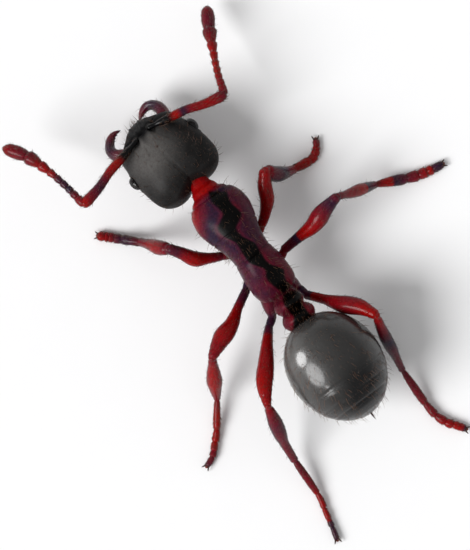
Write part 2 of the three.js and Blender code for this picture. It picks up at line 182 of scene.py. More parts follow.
def through(rows, place, first, last):
    """A smooth curve through rows of numbers, read at places counted in rows."""
    padded = np.vstack([first, rows, last])
    i = np.clip(np.floor(place).astype(int), 0, len(rows) - 2)
    u = (place - i)[:, None]
    p, q, r, s = (padded[i + k] for k in range(4))
    cubic = (2 * p - 5 * q + 4 * r - s) * u**2 + (3 * q - p - 3 * r + s) * u**3
    return 0.5 * (2 * q + (r - p) * u + cubic)


def line_distance(points, corners):
    """Distance of points from a line through corners, in the axes that the corners have."""
    corners = np.array(corners, float)
    spots = points[..., : corners.shape[1]]
    nearest = np.full(spots.shape[:-1], np.inf)
    for start, end in zip(corners, corners[1:]):
        way = end - start
        share = np.clip(((spots - start) @ way) / (way @ way), 0, 1)
        nearest = np.minimum(nearest, np.linalg.norm(spots - start - share[..., None] * way, axis=-1))
    return nearest


def crest(distance, width):
    """1 at no distance, falling away over a width."""
    return np.exp(-((distance / width) ** 2))


def hump(points, centre, spread):
    """1 at a centre, falling away over a spread along each axis."""
    return np.exp(-(((points - np.array(centre)) / np.array(spread)) ** 2).sum(-1))


def mirrored(points, side):
    """Points given for the ant's left side, on either side."""
    points = np.array(points, float)
    points[..., 0] *= OUTWARD[side]
    return points


def whole_line(left_half):
    """A line across the ant's middle, from the left half of its corners."""
    return np.vstack([mirrored(left_half, "right")[::-1], left_half])


def ring_angles(sides):
    return 2 * np.pi * np.arange(sides) / sides


def unit(vectors):
    return vectors / np.maximum(np.linalg.norm(vectors, axis=-1, keepdims=True), 1e-12)


class Path:
    """A smooth line through corners, read by the share of its length."""

    FINENESS = 40  # steps between one corner and the next
    NEARBY = 0.01  # how far before and after a place its direction is read

    def __init__(self, corners):
        corners = np.array(corners, float)
        place = np.linspace(0, len(corners) - 1, self.FINENESS * (len(corners) - 1) + 1)
        ends = 2 * corners[0] - corners[1], 2 * corners[-1] - corners[-2]
        self.points = through(corners, place, *ends)
        steps = np.linalg.norm(np.diff(self.points, axis=0), axis=1)
        self.reached = np.concatenate([[0], np.cumsum(steps)])
        self.length = self.reached[-1]

    def at(self, share):
        reached = np.asarray(share) * self.length
        return np.stack([np.interp(reached, self.reached, axis) for axis in self.points.T], -1)

    def way(self, share):
        share = np.asarray(share, float)
        before, after = np.maximum(share - self.NEARBY, 0), np.minimum(share + self.NEARBY, 1)
        return unit(self.at(after) - self.at(before))


# ---------------------------------------------------------------------------------------------------------
# Skins: rings of points around a body part
# ---------------------------------------------------------------------------------------------------------

DENSE_PLACES = 800  # places read along rows to find even distances
THINNEST = 0.002  # half width of the thinnest ring of a loft
LIP_TURNS = np.radians([20, 40, 60, 80, 100, 130])  # how far a lip has rolled over at each of its rings
LIP_CLOSING = (0.7, 0.35)  # rings that close the end behind a lip, as shares of its last ring
CAP_ARCS = np.radians(np.linspace(8, 80, 6))  # rings of a tube's rounded end, from its tip to its rim
POLE_ANGLE = 4  # degrees from a ball's pole to its first ring


class Skin:
    """Rings of points in a home. along is each ring's share of the part's length."""

    def __init__(self, points, along, home):
        self.points = points
        self.along = np.clip(along, 0, 1)
        self.home = home
        self.outward = 1
        spokes = points - points.mean(axis=1, keepdims=True)
        if (self.normals() * spokes).sum() < 0:
            self.outward = -1

    def normals(self):
        rim = np.roll(self.points, -1, axis=1) - np.roll(self.points, 1, axis=1)
        return self.outward * unit(np.cross(np.gradient(self.points, axis=0), rim))

    def push(self, height):
        """Raises the skin by a height in millimetres, which may differ from point to point."""
        height = np.broadcast_to(height, self.points.shape[:2])[..., None]
        self.points = self.points + self.normals() * height

    def grid(self):
        """Each point's share of the length and of the way round."""
        return np.meshgrid(self.along, np.arange(self.points.shape[1]) / self.points.shape[1], indexing="ij")

    def placed(self):
        turned, origin = self.home
        return self.points @ turned.T + origin


def section(angle, squareness):
    """Across and up, from -1 to 1, of a section that is an ellipse at squareness 2 and fuller above."""
    across, up = np.cos(angle), np.sin(angle)
    power = 2 / squareness
    return np.sign(across) * np.abs(across) ** power, np.sign(up) * np.abs(up) ** power


def past_end(end, following):
    """The row past an end: mirrored through a rounded end, or carried straight on from an open one."""
    if end[1] == 0:
        return np.array([following[0], -following[1], following[3], following[2]])
    return 2 * np.array(end) - np.array(following)


def read_rows(rows, places):
    """Rows read at places counted in rows."""
    return through(np.array(rows, float), places, past_end(rows[0], rows[1]), past_end(rows[-1], rows[-2]))


def row_places(rows, rings, span):
    """Places along rows at even distances, between two values of their first number."""
    dense = np.linspace(0, len(rows) - 1, DENSE_PLACES)
    found = read_rows(rows, dense)
    if span is not None:
        inside = (found[:, 0] >= min(span)) & (found[:, 0] <= max(span))
        dense, found = dense[inside], found[inside]
    reached = np.concatenate([[0], np.cumsum(np.linalg.norm(np.diff(found, axis=0), axis=1))])
    return np.interp(np.linspace(0, reached[-1], rings), reached, dense)


def loft(rows, rings, sides, home=BODY, span=None, squareness=2.3, inset=0.0):
    """A skin through rows of [Y, half width, top, bottom], or the stretch of it between two values of Y."""
    places = row_places(rows, rings, span)
    y, half, top, bottom = (column[:, None] for column in read_rows(rows, places).T)
    across, up = section(ring_angles(sides), squareness)
    half = np.maximum(half - inset, THINNEST)
    tall = np.maximum((top - bottom) / 2 - inset, THINNEST)
    points = np.stack(np.broadcast_arrays(half * across, y, (top + bottom) / 2 + tall * up), -1)
    return Skin(points, (places - places[0]) / (places[-1] - places[0]), home)


def rolled(skin, lip, ends=(True, True)):
    """Rolls the open ends of a skin inwards over a rounded lip, and closes them towards the middle."""
    stretches, along = [skin.points], [skin.along]
    for last, wanted in zip((False, True), ends):
        if not wanted:
            continue
        edge, inner = (skin.points[-1], skin.points[-2]) if last else (skin.points[0], skin.points[1])
        centre = edge.mean(axis=0)
        axis = unit(centre - inner.mean(axis=0))
        spokes = unit(edge - centre)
        turns = LIP_TURNS[:, None, None]
        rims = edge - spokes * lip * (1 - np.cos(turns)) + axis * lip * np.sin(turns)
        rings = np.concatenate([rims, [centre + (rims[-1] - centre) * share for share in LIP_CLOSING]])
        stretches = stretches + [rings] if last else [rings[::-1]] + stretches
        share = np.full(len(rings), 1.0 if last else 0.0)
        along = along + [share] if last else [share] + along
    return Skin(np.concatenate(stretches), np.concatenate(along), skin.home)


def tube(path, wide, tall=None, span=(0, 1), rings=22, sides=28, caps=(0.7, 0.7), home=BODY):
    """A limb's skin along a stretch of a path. Its half width and half height are (share, size) stops, and
    each rounded end reaches out by its cap, in half widths."""
    tall = tall or wide
    cap = len(CAP_ARCS)
    shrink = np.concatenate([np.sin(CAP_ARCS), np.ones(rings), np.sin(CAP_ARCS[::-1])])
    along = np.concatenate([np.zeros(cap), np.linspace(0, 1, rings), np.ones(cap)])
    share = span[0] + (span[1] - span[0]) * along
    half, high = profile(wide, along) * shrink, profile(tall, along) * shrink
    reach = np.zeros(len(along))
    reach[:cap] = -np.cos(CAP_ARCS) * caps[0] * profile(wide, 0.0)
    reach[-cap:] = np.cos(CAP_ARCS[::-1]) * caps[1] * profile(wide, 1.0)
    way = path.way(share)
    centre = path.at(share) + way * reach[:, None]
    side = unit(np.cross(UP, way))
    rise = np.cross(way, side)
    angle = ring_angles(sides)
    ring = half[:, None, None] * np.cos(angle)[:, None] * side[:, None]
    points = centre[:, None] + ring + high[:, None, None] * np.sin(angle)[:, None] * rise[:, None]
    return Skin(points, along, home)


def ball(centre, radii, home=BODY, rings=14, sides=20):
    """An egg about a centre, with its own half widths along X, Y and Z."""
    turn = np.radians(np.linspace(POLE_ANGLE, 180 - POLE_ANGLE, rings))[:, None]
    angle = ring_angles(sides)
    across, up = np.cos(angle), np.sin(angle)
    shape = np.stack(np.broadcast_arrays(np.sin(turn) * across, -np.cos(turn), np.sin(turn) * up), -1)
    return Skin(np.array(centre) + shape * np.broadcast_to(radii, 3), np.linspace(0, 1, rings), home)


def spike(corners, radius, home=BODY, sides=10, tip=0.06):
    """A tooth, claw or spur that tapers along a line, to a share of its radius at its tip."""
    taper = [(0, radius), (0.5, 0.72 * radius), (1, tip * radius)]
    return tube(Path(corners), taper, rings=12, sides=sides, home=home, caps=(0.3, 0.6))


def swell(skin, height, centre, spread, side="left", within=1.0):
    """Raises a spot of a skin, or sinks it where the height is negative."""
    skin.push(height * hump(skin.points, mirrored(centre, side), spread) * within)


def fold(skin, height, corners, width, side="left", within=1.0):
    """Raises a ridge of a skin along a line, or sinks a seam where the height is negative."""
    skin.push(height * crest(line_distance(skin.points, mirrored(corners, side)), width) * within)


# ---------------------------------------------------------------------------------------------------------
# Pieces
# ---------------------------------------------------------------------------------------------------------


def cone_faces(sides, rings):
    """Faces over rings of corners, which follow one another up to a point at the tip."""
    faces = []
    for first in range(0, (rings - 1) * sides, sides):
        for side in range(sides):
            following = (side + 1) % sides
            faces.append([first + side, first + following, first + sides + following, first + sides + side])
    last = (rings - 1) * sides
    return faces + [[last + side, last + (side + 1) % sides, last + sides] for side in range(sides)]


def new_mesh(name, points, faces, look, marks):
    """A smooth mesh from points in millimetres, with marks that its material reads at each point."""
    mesh = bpy.data.meshes.new(name)
    mesh.from_pydata((points * MM).tolist(), [], faces)
    mesh.polygons.foreach_set("use_smooth", [True] * len(mesh.polygons))
    for mark, values in marks.items():
        mesh.attributes.new(mark, "FLOAT", "POINT").data.foreach_set("value", values)
    mesh.materials.append(bpy.data.materials[look])
    return mesh


def mount(mesh, nodes=()):
    """Puts a finished mesh onto the ant as a piece, in place of the frame's nodes."""
    piece = bpy.data.objects.new(mesh.name, mesh)
    bpy.context.scene.collection.objects.link(piece)
    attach(piece, "root")
    if nodes:
        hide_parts(*nodes)


class Piece:
    """Gathers skins and small shapes into one mesh, with marks that its material reads."""

    def __init__(self):
        self.points, self.faces, self.marks, self.count = [], [], [], 0

    def add(self, points, faces, **marks):
        self.points.append(points)
        self.faces += [tuple(corner + self.count for corner in face) for face in faces]
        self.marks.append((len(points), marks))
        self.count += len(points)

    def skin(self, skin, **marks):
        """Adds a skin, closed by a point at each end. Marks are one number or one for each of its points."""
        rings, sides = skin.points.shape[:2]
        placed = skin.placed()
        points = np.vstack([placed.reshape(-1, 3), placed[0].mean(0), placed[-1].mean(0)])
        ring, side = np.meshgrid(np.arange(rings - 1), np.arange(sides), indexing="ij")
        following = (side + 1) % sides
        quads = np.stack([ring * sides + side, ring * sides + following,
                          (ring + 1) * sides + following, (ring + 1) * sides + side], -1).reshape(-1, 4)
        side = np.arange(sides)
        following = (side + 1) % sides
        edge, tip = (rings - 1) * sides, np.full(sides, rings * sides)
        start = np.stack([following, side, tip], -1)
        end = np.stack([edge + side, edge + following, tip + 1], -1)
        faces = quads.tolist() + start.tolist() + end.tolist()
        if skin.outward > 0:
            faces = [face[::-1] for face in faces]
        spread = {}
        for name, value in marks.items():
            value = np.broadcast_to(value, (rings, sides))
            spread[name] = np.concatenate([value.ravel(), [value[0].mean(), value[-1].mean()]])
        self.add(points, faces, **spread)
        return self

    def finish(self, name, look, slot, nodes=()):
        """Makes what is gathered into one piece of the ant."""
        spread = {}
        for mark in sorted({mark for _, marks in self.marks for mark in marks}):
            values = [np.broadcast_to(marks.get(mark, 0.0), count) for count, marks in self.marks]
            spread[mark] = np.concatenate(values)
        mount(new_mesh(name, np.vstack(self.points), self.faces, look, spread), nodes)


# ---------------------------------------------------------------------------------------------------------
# Bristles
# ---------------------------------------------------------------------------------------------------------

BRISTLE_SIDES = 3
BRISTLE_RINGS = np.array([0.0, 0.4, 0.75])  # where a bristle's rings are, as shares of its length
BRISTLE_TAPER = np.array([1.0, 0.8, 0.45])  # and how thick it is there
BRISTLE_VARIETY = (0.85, 1.15)  # the thinnest and thickest of a kind, as shares of its radius
ROOT_DEPTH = 0.5  # how deep a root is sunk, in radii
STRAY = 0.22  # how far bristles stray from their lie
FLAT_STRAY = 0.35  # and the share of it that those lying flat stray
LEAST_RISE = 0.12  # how steeply the flattest bristle leaves the skin
DROOP = 0.3  # how far a tip bends back to the skin, as a share of its curl
STEEP = 0.9  # the rise from which a bristle counts as upright in the frame
PATCH = 0.003  # size of a bristle's patch on the bake map
STRIP_EDGE = 0.04  # what stays free at each edge of a planting's strip of the bake map
SPARSE = 1e-6  # growth that keeps a planting's weights above nothing
COATS = {}  # bristles planted so far, by the name of their coat

# Kinds of bristles: [shortest, longest, radius, lift, curl]. A lift of 0 lies flat and 1 stands upright. The
# lengths of the long kinds are shares of the length in the settings.
LONG_BRISTLES = {
    "crown": [0.6, 1.05, 0.0044, 0.85, 0.2],
    "back": [0.75, 1.2, 0.0046, 0.88, 0.2],
    "waist": [0.7, 1.1, 0.005, 0.75, 0.25],
    "gaster": [0.6, 1.0, 0.0045, 0.62, 0.25],
}
SHORT_BRISTLES = {
    "crown down": [0.03, 0.05, 0.002, 0.16, 0.1],
    "shield": [0.16, 0.24, 0.006, 0.6, 0.15],
    "mandible": [0.06, 0.13, 0.0042, 0.45, 0.2],
    "scape": [0.06, 0.11, 0.0038, 0.42, 0.2],
    "scape down": [0.03, 0.05, 0.0024, 0.2, 0.1],
    "bead": [0.05, 0.08, 0.0032, 0.6, 0.15],
    "bead down": [0.03, 0.05, 0.0024, 0.3, 0.1],
    "back down": [0.035, 0.055, 0.002, 0.18, 0.1],
    "waist down": [0.035, 0.06, 0.0026, 0.2, 0.1],
    "gaster down": [0.045, 0.07, 0.002, 0.1, 0.05],
    "coxa": [0.08, 0.14, 0.0045, 0.6, 0.2],
    "limb": [0.07, 0.12, 0.0036, 0.48, 0.2],
    "limb down": [0.035, 0.06, 0.0024, 0.2, 0.1],
    "toe down": [0.035, 0.06, 0.0028, 0.3, 0.1],
    "sole": [0.05, 0.08, 0.0046, 0.35, 0.1],
}


def plant(coat, kind, skin, number, where=1.0):
    """Plants bristles of a kind over a skin. where is how thickly they grow at each of its points."""
    settings = bpy.context.scene.ant_bristles
    scale = settings.length if kind in LONG_BRISTLES else 1
    shortest, longest, radius, lift, curl = {**LONG_BRISTLES, **SHORT_BRISTLES}[kind]
    number = int(number * settings.count)
    rng = np.random.default_rng([SEED, len(COATS), sum(len(rows) for rows in COATS.values())])
    placed, turned = skin.placed(), skin.home[0]
    normals = skin.normals() @ turned.T
    run = np.diff(placed, axis=0)
    rim = np.roll(placed, -1, axis=1) - placed
    area = np.linalg.norm(np.cross(run, rim[:-1]), axis=-1)
    weight = (area * np.broadcast_to(where, placed.shape[:2])[:-1]).ravel()
    chosen = rng.choice(len(weight), number, p=weight / weight.sum())
    ring, side = np.divmod(chosen, placed.shape[1])
    following = (side + 1) % placed.shape[1]
    a, b = rng.random((2, number, 1))

    def within(values):
        near = values[ring, side] * (1 - b) + values[ring, following] * b
        return near * (1 - a) + (values[ring + 1, side] * (1 - b) + values[ring + 1, following] * b) * a

    root, normal = within(placed), unit(within(normals))
    back = unit(run[ring, side])
    back = unit(back - (back * normal).sum(-1, keepdims=True) * normal)
    stray = rng.normal(0, STRAY, (number, 3))
    way = unit(normal * lift + back * (1 - lift) + stray * (FLAT_STRAY + (1 - FLAT_STRAY) * lift))
    below = np.minimum((way * normal).sum(-1, keepdims=True) - LEAST_RISE, 0)
    along = skin.along[ring] + a[:, 0] * (skin.along[ring + 1] - skin.along[ring])
    COATS.setdefault(coat, []).append({
        "root": root - normal * radius * ROOT_DEPTH,
        "way": unit(way - below * normal),
        "bend": back * curl - normal * curl * DROOP,
        "length": rng.uniform(scale * shortest, scale * longest, number),
        "radius": radius * rng.uniform(*BRISTLE_VARIETY, number),
        "share": np.stack([along, (side + b[:, 0]) / placed.shape[1]], -1),
    })


def bristle_meshes(planted):
    """Points, faces, bake-map corners and nearness to the tip. Each planting has a strip of the map."""
    local = cone_faces(BRISTLE_SIDES, len(BRISTLE_RINGS))
    each = BRISTLE_SIDES * len(BRISTLE_RINGS) + 1
    angle, heights = ring_angles(BRISTLE_SIDES), np.append(BRISTLE_RINGS, 1.0)
    across = (np.arange(BRISTLE_SIDES) + 0.5) / BRISTLE_SIDES
    patch = [(spot, height) for height in BRISTLE_RINGS for spot in across] + [(0.5, 1.0)]
    patch = (np.array(patch) - 0.5) * PATCH
    order = np.concatenate([patch[face] for face in local])
    nearness = np.append(np.repeat(BRISTLE_RINGS, BRISTLE_SIDES), 1.0)
    points, faces, corners, tips = [], [], [], []
    for strip, rows in enumerate(planted):
        way, root = rows["way"], rows["root"]
        side = unit(np.cross(way, np.where(np.abs(way[:, 2:]) > STEEP, [[1.0, 0, 0]], [[0, 0, 1.0]])))
        height = heights[None, :, None]
        bent = way[:, None] * height + rows["bend"][:, None] * height**2
        spine = root[:, None] + rows["length"][:, None, None] * bent
        spokes = np.cos(angle)[:, None, None] * side + np.sin(angle)[:, None, None] * np.cross(way, side)
        thick = (rows["radius"][:, None] * BRISTLE_TAPER)[:, :, None, None]
        shafts = (spine[:, :-1, None] + spokes.transpose(1, 0, 2)[:, None] * thick).reshape(len(root), -1, 3)
        firsts = (len(tips) + each * np.arange(len(root))).tolist()
        points.append(np.concatenate([shafts, spine[:, -1:]], axis=1).reshape(-1, 3))
        faces += [[corner + first for corner in face] for first in firsts for face in local]
        tips += np.tile(nearness, len(root)).tolist()
        strips_in = STRIP_EDGE + (1 - 2 * STRIP_EDGE) * rows["share"][:, 0]
        place = np.stack([(strip + strips_in) / len(planted), rows["share"][:, 1]], -1)
        corners.append((np.clip(place, PATCH, 1 - PATCH)[:, None] + order).reshape(-1, 2))
    return np.vstack(points), faces, np.vstack(corners), tips


def finish_coat(coat):
    """Makes a coat's planted bristles into one piece with its bake map, and none goes below the floor."""
    points, faces, corners, tips = bristle_meshes(COATS[coat])
    points[:, 2] = np.maximum(points[:, 2], 0.0)
    mesh = new_mesh(coat, points, faces, "Golden bristle", {"tip": tips})
    mesh.uv_layers.new(name="OFBake").data.foreach_set("uv", corners.ravel())
    mount(mesh)


# ---------------------------------------------------------------------------------------------------------
# Materials
# ---------------------------------------------------------------------------------------------------------

MICROMETRE = 1e-6
SHELL_IOR = 1.45
GRAIN_RANGE = (0.25, 0.75)  # the grain between which a shell's roughness goes from its least to its most
SPECK_TINT = (0.62, 0.55, 0.58, 1)
SPECK_RANGE = (0.58, 0.86)
GLOW_RADIUS = (1.0, 0.2, 0.08)
GLOW_DEPTH = 0.12 * MM


def fill(tree, made, inputs):
    """Sets a node's inputs to values, or links sockets to them."""
    for name, value in inputs.items():
        if isinstance(value, bpy.types.NodeSocket):
            tree.links.new(value, made.inputs[name])
        else:
            made.inputs[name].default_value = value
    return made


def node(tree, kind, inputs=None, **settings):
    """Adds a node, with its settings, and its inputs given as values or as sockets to link."""
    made = tree.nodes.new("ShaderNode" + kind)
    for name, value in settings.items():
        setattr(made, name, value)
    return fill(tree, made, inputs or {})


def maths(tree, operation, first, second=0.0):
    return node(tree, "Math", {0: first, 1: second}, operation=operation).outputs[0]


def ramp(tree, value, low, high, out_low=0.0, out_high=1.0):
    """Eases a value from one range to another."""
    inputs = {"Value": value, "From Min": low, "From Max": high, "To Min": out_low, "To Max": out_high}
    return node(tree, "MapRange", inputs, interpolation_type="SMOOTHSTEP").outputs[0]


def mix_colours(tree, factor, first, second, **settings):
    return node(tree, "Mix", {0: factor, 6: first, 7: second}, data_type="RGBA", **settings).outputs[2]


def noise(tree, scale, detail, roughness=0.5):
    """Cloudy noise, a number of grains to the metre."""
    inputs = {"Vector": coordinates(tree), "Scale": scale, "Detail": detail, "Roughness": roughness}
    return node(tree, "TexNoise", inputs).outputs[0]


def coordinates(tree):
    return node(tree, "TexCoord").outputs["Object"]


def read_mark(tree, name):
    return node(tree, "Attribute", attribute_name=name).outputs["Fac"]


def opaque(colour):
    return (*colour, 1)


def new_group(name, inputs, outputs):
    """A node group with its named sockets, its input node and its output node."""
    tree = bpy.data.node_groups.new(name, "ShaderNodeTree")
    for way, sockets in (("INPUT", inputs), ("OUTPUT", outputs)):
        for socket, kind in sockets.items():
            tree.interface.new_socket(socket, in_out=way, socket_type="NodeSocket" + kind)
    return tree, tree.nodes.new("NodeGroupInput").outputs, tree.nodes.new("NodeGroupOutput")


def use_group(tree, name, inputs):
    return node(tree, "Group", inputs, node_tree=bpy.data.node_groups[name]).outputs


def new_material(name):
    """A new material's nodes and its shader."""
    made = bpy.data.materials.new(name)
    made.use_nodes = True
    return made.node_tree, made.node_tree.nodes["Principled BSDF"]


def make_tone_group():
    """Shell colour: from bright to deep by a shade, mottled as grown horn is, with finer grain."""
    inputs = {"Bright": "Color", "Deep": "Color", "Shade": "Float", "Mottle": "Float"}
    tree, given, out = new_group("Shell tone", inputs, {"Color": "Color", "Grain": "Float"})
    cloud = noise(tree, 3200, 4, 0.6)
    grain = noise(tree, 38000, 3)
    spots = node(tree, "TexVoronoi", {"Vector": coordinates(tree), "Scale": 17000}).outputs["Distance"]
    shift = maths(tree, "MULTIPLY", maths(tree, "SUBTRACT", cloud, 0.5), given["Mottle"])
    shade = node(tree, "Clamp", {0: maths(tree, "ADD", given["Shade"], shift)}).outputs[0]
    base = mix_colours(tree, shade, given["Bright"], given["Deep"])
    darker = mix_colours(tree, 1.0, base, SPECK_TINT, blend_type="MULTIPLY")
    speck = ramp(tree, maths(tree, "ADD", maths(tree, "MULTIPLY", spots, 0.5), grain), *SPECK_RANGE, 1.5, 0)
    speck = maths(tree, "MULTIPLY", speck, given["Mottle"])
    fill(tree, out, {"Color": mix_colours(tree, speck, base, darker), "Grain": grain})


def make_sculpture_group():
    """Fine sculpture of shell, in micrometres: bristle pits, a mesh of cell edges, striae and ripples."""
    inputs = {name: "Float" for name in ("Pits", "Cells", "Striae", "Ripples")}
    tree, given, out = new_group("Shell sculpture", {**inputs, "Stria Way": "Vector"}, {"Height": "Float"})
    spot = coordinates(tree)
    pit = node(tree, "TexVoronoi", {"Vector": spot, "Scale": 9500}).outputs["Distance"]
    edge = node(tree, "TexVoronoi", {"Vector": spot, "Scale": 62000}, feature="DISTANCE_TO_EDGE").outputs[0]
    across = {0: spot, 1: given["Stria Way"]}
    line = node(tree, "VectorMath", across, operation="DOT_PRODUCT").outputs["Value"]
    wander = maths(tree, "MULTIPLY", noise(tree, 4200, 2), 9.0)
    heights = {
        "Pits": ramp(tree, pit, 0.06, 0.2, -1, 0),
        "Cells": ramp(tree, edge, 0.0, 0.16, -1, 0),
        "Striae": maths(tree, "SINE", maths(tree, "ADD", line, wander)),
        "Ripples": noise(tree, 12000, 5),
    }
    total = 0.0
    for name, height in heights.items():
        total = maths(tree, "ADD", maths(tree, "MULTIPLY", height, given[name]), total)
    fill(tree, out, {"Height": total})


def shell(name, bright, deep, sculpture, mottle=0.5, gloss=(0.2, 0.34), band=None, glow=0.0,
          wax=(0.1, 0.06), polish=0.35):
    """A shell material. Its shade comes from the piece's own marks, gloss is its range of roughness, wax is
    the weight and roughness of the layer over it, and polish is how much the shell below mirrors."""
    tree, surface = new_material(name)
    shade = read_mark(tree, "shade")
    inputs = {"Bright": opaque(bright), "Deep": opaque(deep), "Shade": shade, "Mottle": mottle}
    tone = use_group(tree, "Shell tone", inputs)
    colour = tone["Color"]
    if band is not None:
        colour = mix_colours(tree, read_mark(tree, "band"), colour, opaque(band))
    height = use_group(tree, "Shell sculpture", sculpture)["Height"]
    fill(tree, surface, {
        "Base Color": colour,
        "Roughness": ramp(tree, tone["Grain"], *GRAIN_RANGE, *gloss),
        "Normal": node(tree, "Bump", {"Height": height, "Distance": MICROMETRE, "Strength": 1.0}).outputs[0],
        "IOR": SHELL_IOR,
        "Specular IOR Level": polish,
        "Coat Weight": wax[0],
        "Coat Roughness": wax[1],
        "Subsurface Weight": glow,
        "Subsurface Radius": GLOW_RADIUS,
        "Subsurface Scale": GLOW_DEPTH,
    })


def plain(name, colour, sculpture, gloss, glow=0.0):
    """A material of one tone, with fine sculpture and grain."""
    shell(name, colour, tuple(0.6 * part for part in colour), sculpture, gloss=gloss, glow=glow)


def bristle_material(gold):
    """Golden at the tips and rust at the roots."""
    tree, surface = new_material("Golden bristle")
    rust = tuple(part * share for part, share in zip(gold, (0.5, 0.36, 0.3)))
    cloud = noise(tree, 6000, 2)
    nearness = maths(tree, "ADD", read_mark(tree, "tip"), maths(tree, "MULTIPLY", cloud, 0.6))
    share = ramp(tree, nearness, 0.2, 1.3)
    fill(tree, surface, {
        "Base Color": mix_colours(tree, share, opaque(rust), opaque(gold)),
        "Roughness": ramp(tree, cloud, 0.3, 0.7, 0.3, 0.45),
        "Specular IOR Level": 0.6,
    })


def floor_material(colour):
    """Faintly clouded, and dull."""
    tree, surface = new_material("Studio floor")
    darker = tuple(0.985 * part for part in colour)
    fill(tree, surface, {
        "Base Color": mix_colours(tree, noise(tree, 900, 3), opaque(colour), opaque(darker)),
        "Roughness": 0.9,
        "Specular IOR Level": 0.2,
    })


# ---------------------------------------------------------------------------------------------------------
# Head, eyes and mandibles
# ---------------------------------------------------------------------------------------------------------

# Rows along the head: [distance in front of the nape, half width, height of the crown, of the throat].
HEAD_ROWS = [
    [-0.03, 0, 0.02, 0.02],
    [0.03, 0.5, 0.33, -0.3],
    [0.13, 0.72, 0.45, -0.41],
    [0.33, 0.84, 0.55, -0.51],
    [0.65, 0.87, 0.61, -0.57],
    [1.0, 0.85, 0.61, -0.58],
    [1.32, 0.79, 0.54, -0.53],
    [1.57, 0.72, 0.44, -0.43],
    [1.72, 0.52, 0.32, -0.34],
    [1.86, 0.28, 0.16, -0.24],
    [1.95, 0, -0.05, -0.05],
]
HEAD_INSET = -0.004
NOTCH = {"depth": 0.12, "half_width": 0.26, "reach": 0.6}
EYE_INSET = 0.006  # how far an eye's egg lies inside its half axes
EYE_EDGE = 0.12  # how near to an eye's rim its lenses end
FACET = 0.0205  # width of an eye's facet
FACET_ROWS = 0.866 * FACET  # from one row of facets to the next
LENS_SIDES = 6
LENS_RINGS = (0.0, 0.55, 0.9)  # where a lens's rings are, as shares of its height
LENS_HEIGHT = 0.32 * FACET
LENS_RADIUS = 0.56 * FACET
LENS_DEPTH = 0.003  # how deep a lens is rooted in the eye
SOCKET_RIM = {"depth": 0.045, "radius": 0.078, "thickness": 0.02}  # the rim that the antenna turns in
# Spots of the head that stand out or sink in, on its left side: [height, centre, spread].
BACK_LOBE = [0.014, (0.4, -0.4, 0.55), (0.3, 0.4, 0.3)]
FRONTAL_LOBE = [0.062, (0.115, -1.42, 0.52), (0.055, 0.15, 0.3)]
ANTENNA_HOLLOW = [-0.075, (0.24, -1.5, 0.5), (0.075, 0.11, 0.3)]
HINGE_SWELLING = [0.03, (0.58, -1.55, -0.1), (0.13, 0.12, 0.2)]
MOUTH_HOLLOW = [-0.06, (0, -1.64, -0.4), (0.26, 0.13, 0.2)]
# Its ridges and seams, those at the side on its left: [height, corners, width].
FRONTAL_RIDGE = [0.016, [(0.165, -1.36), (0.21, -1.2), (0.27, -1.02)], 0.02]
CHEEK_RIDGE = [0.01, [(0.74, -1.14, 0.1), (0.66, -1.5, 0.02)], 0.025]
SHIELD_KEEL = [0.024, [(0.06, -1.57), (0.085, -1.75), (0.13, -1.95)], 0.02]
SEAM_HALF = [(0.12, -1.53), (0.27, -1.56), (0.36, -1.62), (0.5, -1.69), (0.6, -1.84)]
SHIELD_SEAM = [-0.018, whole_line(SEAM_HALF), 0.014]
MOUTH_RIM = [0.022, whole_line([(0.12, -1.38), (0.36, -1.45), (0.5, -1.62)]), 0.03]
SHIELD_TEETH = [(0.125, -1.9, 0.075), (0.27, -1.83, 0.04)]  # X, Y and length
# Parts of the mouth on the left side: [corners, half widths, half heights, sides, shade].
MOUTH = {
    "lip": [[(0, -1.52, -0.4), (0, -1.72, -0.38), (0, -1.84, -0.3)],
            [(0, 0.1), (0.5, 0.12), (1, 0.07)], [(0, 0.05), (0.5, 0.06), (1, 0.03)], 28, 0.5],
    "jaw": [[(0.2, -1.5, -0.42), (0.19, -1.72, -0.37), (0.1, -1.88, -0.26)],
            [(0, 0.09), (0.5, 0.095), (1, 0.05)], [(0, 0.045), (0.5, 0.05), (1, 0.025)], 28, 0.35],
    "palp": [[(0.24, -1.6, -0.45), (0.27, -1.72, -0.5), (0.2, -1.82, -0.5)],
             [(0, 0.018), (0.5, 0.024), (1, 0.014)], None, 12, 0.2],
}
# Centre lines of the mandibles, from hinge to tip: the left one stands a little more open.
MANDIBLE_LINES = {
    "left": [(0.52, -1.6, -0.13), (0.69, -1.84, -0.15), (0.685, -2.02, -0.18), (0.55, -2.17, -0.2),
             (0.4, -2.21, -0.21), (0.27, -2.17, -0.22)],
    "right": [(-0.54, -1.56, -0.13), (-0.625, -1.8, -0.15), (-0.6, -1.98, -0.18), (-0.49, -2.1, -0.2),
              (-0.34, -2.1, -0.21), (-0.15, -2.01, -0.22)],
}
MANDIBLE_WIDE = [(0, 0.15), (0.2, 0.138), (0.45, 0.118), (0.7, 0.086), (0.88, 0.048), (1, 0.012)]
MANDIBLE_TALL = [(0, 0.15), (0.2, 0.14), (0.45, 0.13), (0.7, 0.1), (0.88, 0.056), (1, 0.014)]
MANDIBLE_SHADES = [(0, 0.5), (0.25, 0.75), (0.5, 0.95), (0.8, 0.6), (1, 0.9)]
MANDIBLE_TEETH = [(0.66, 0.014), (0.76, 0.02), (0.86, 0.024)]  # place along the mandible, and length
MANDIBLE_STRIAE = 13  # fine ridges around it


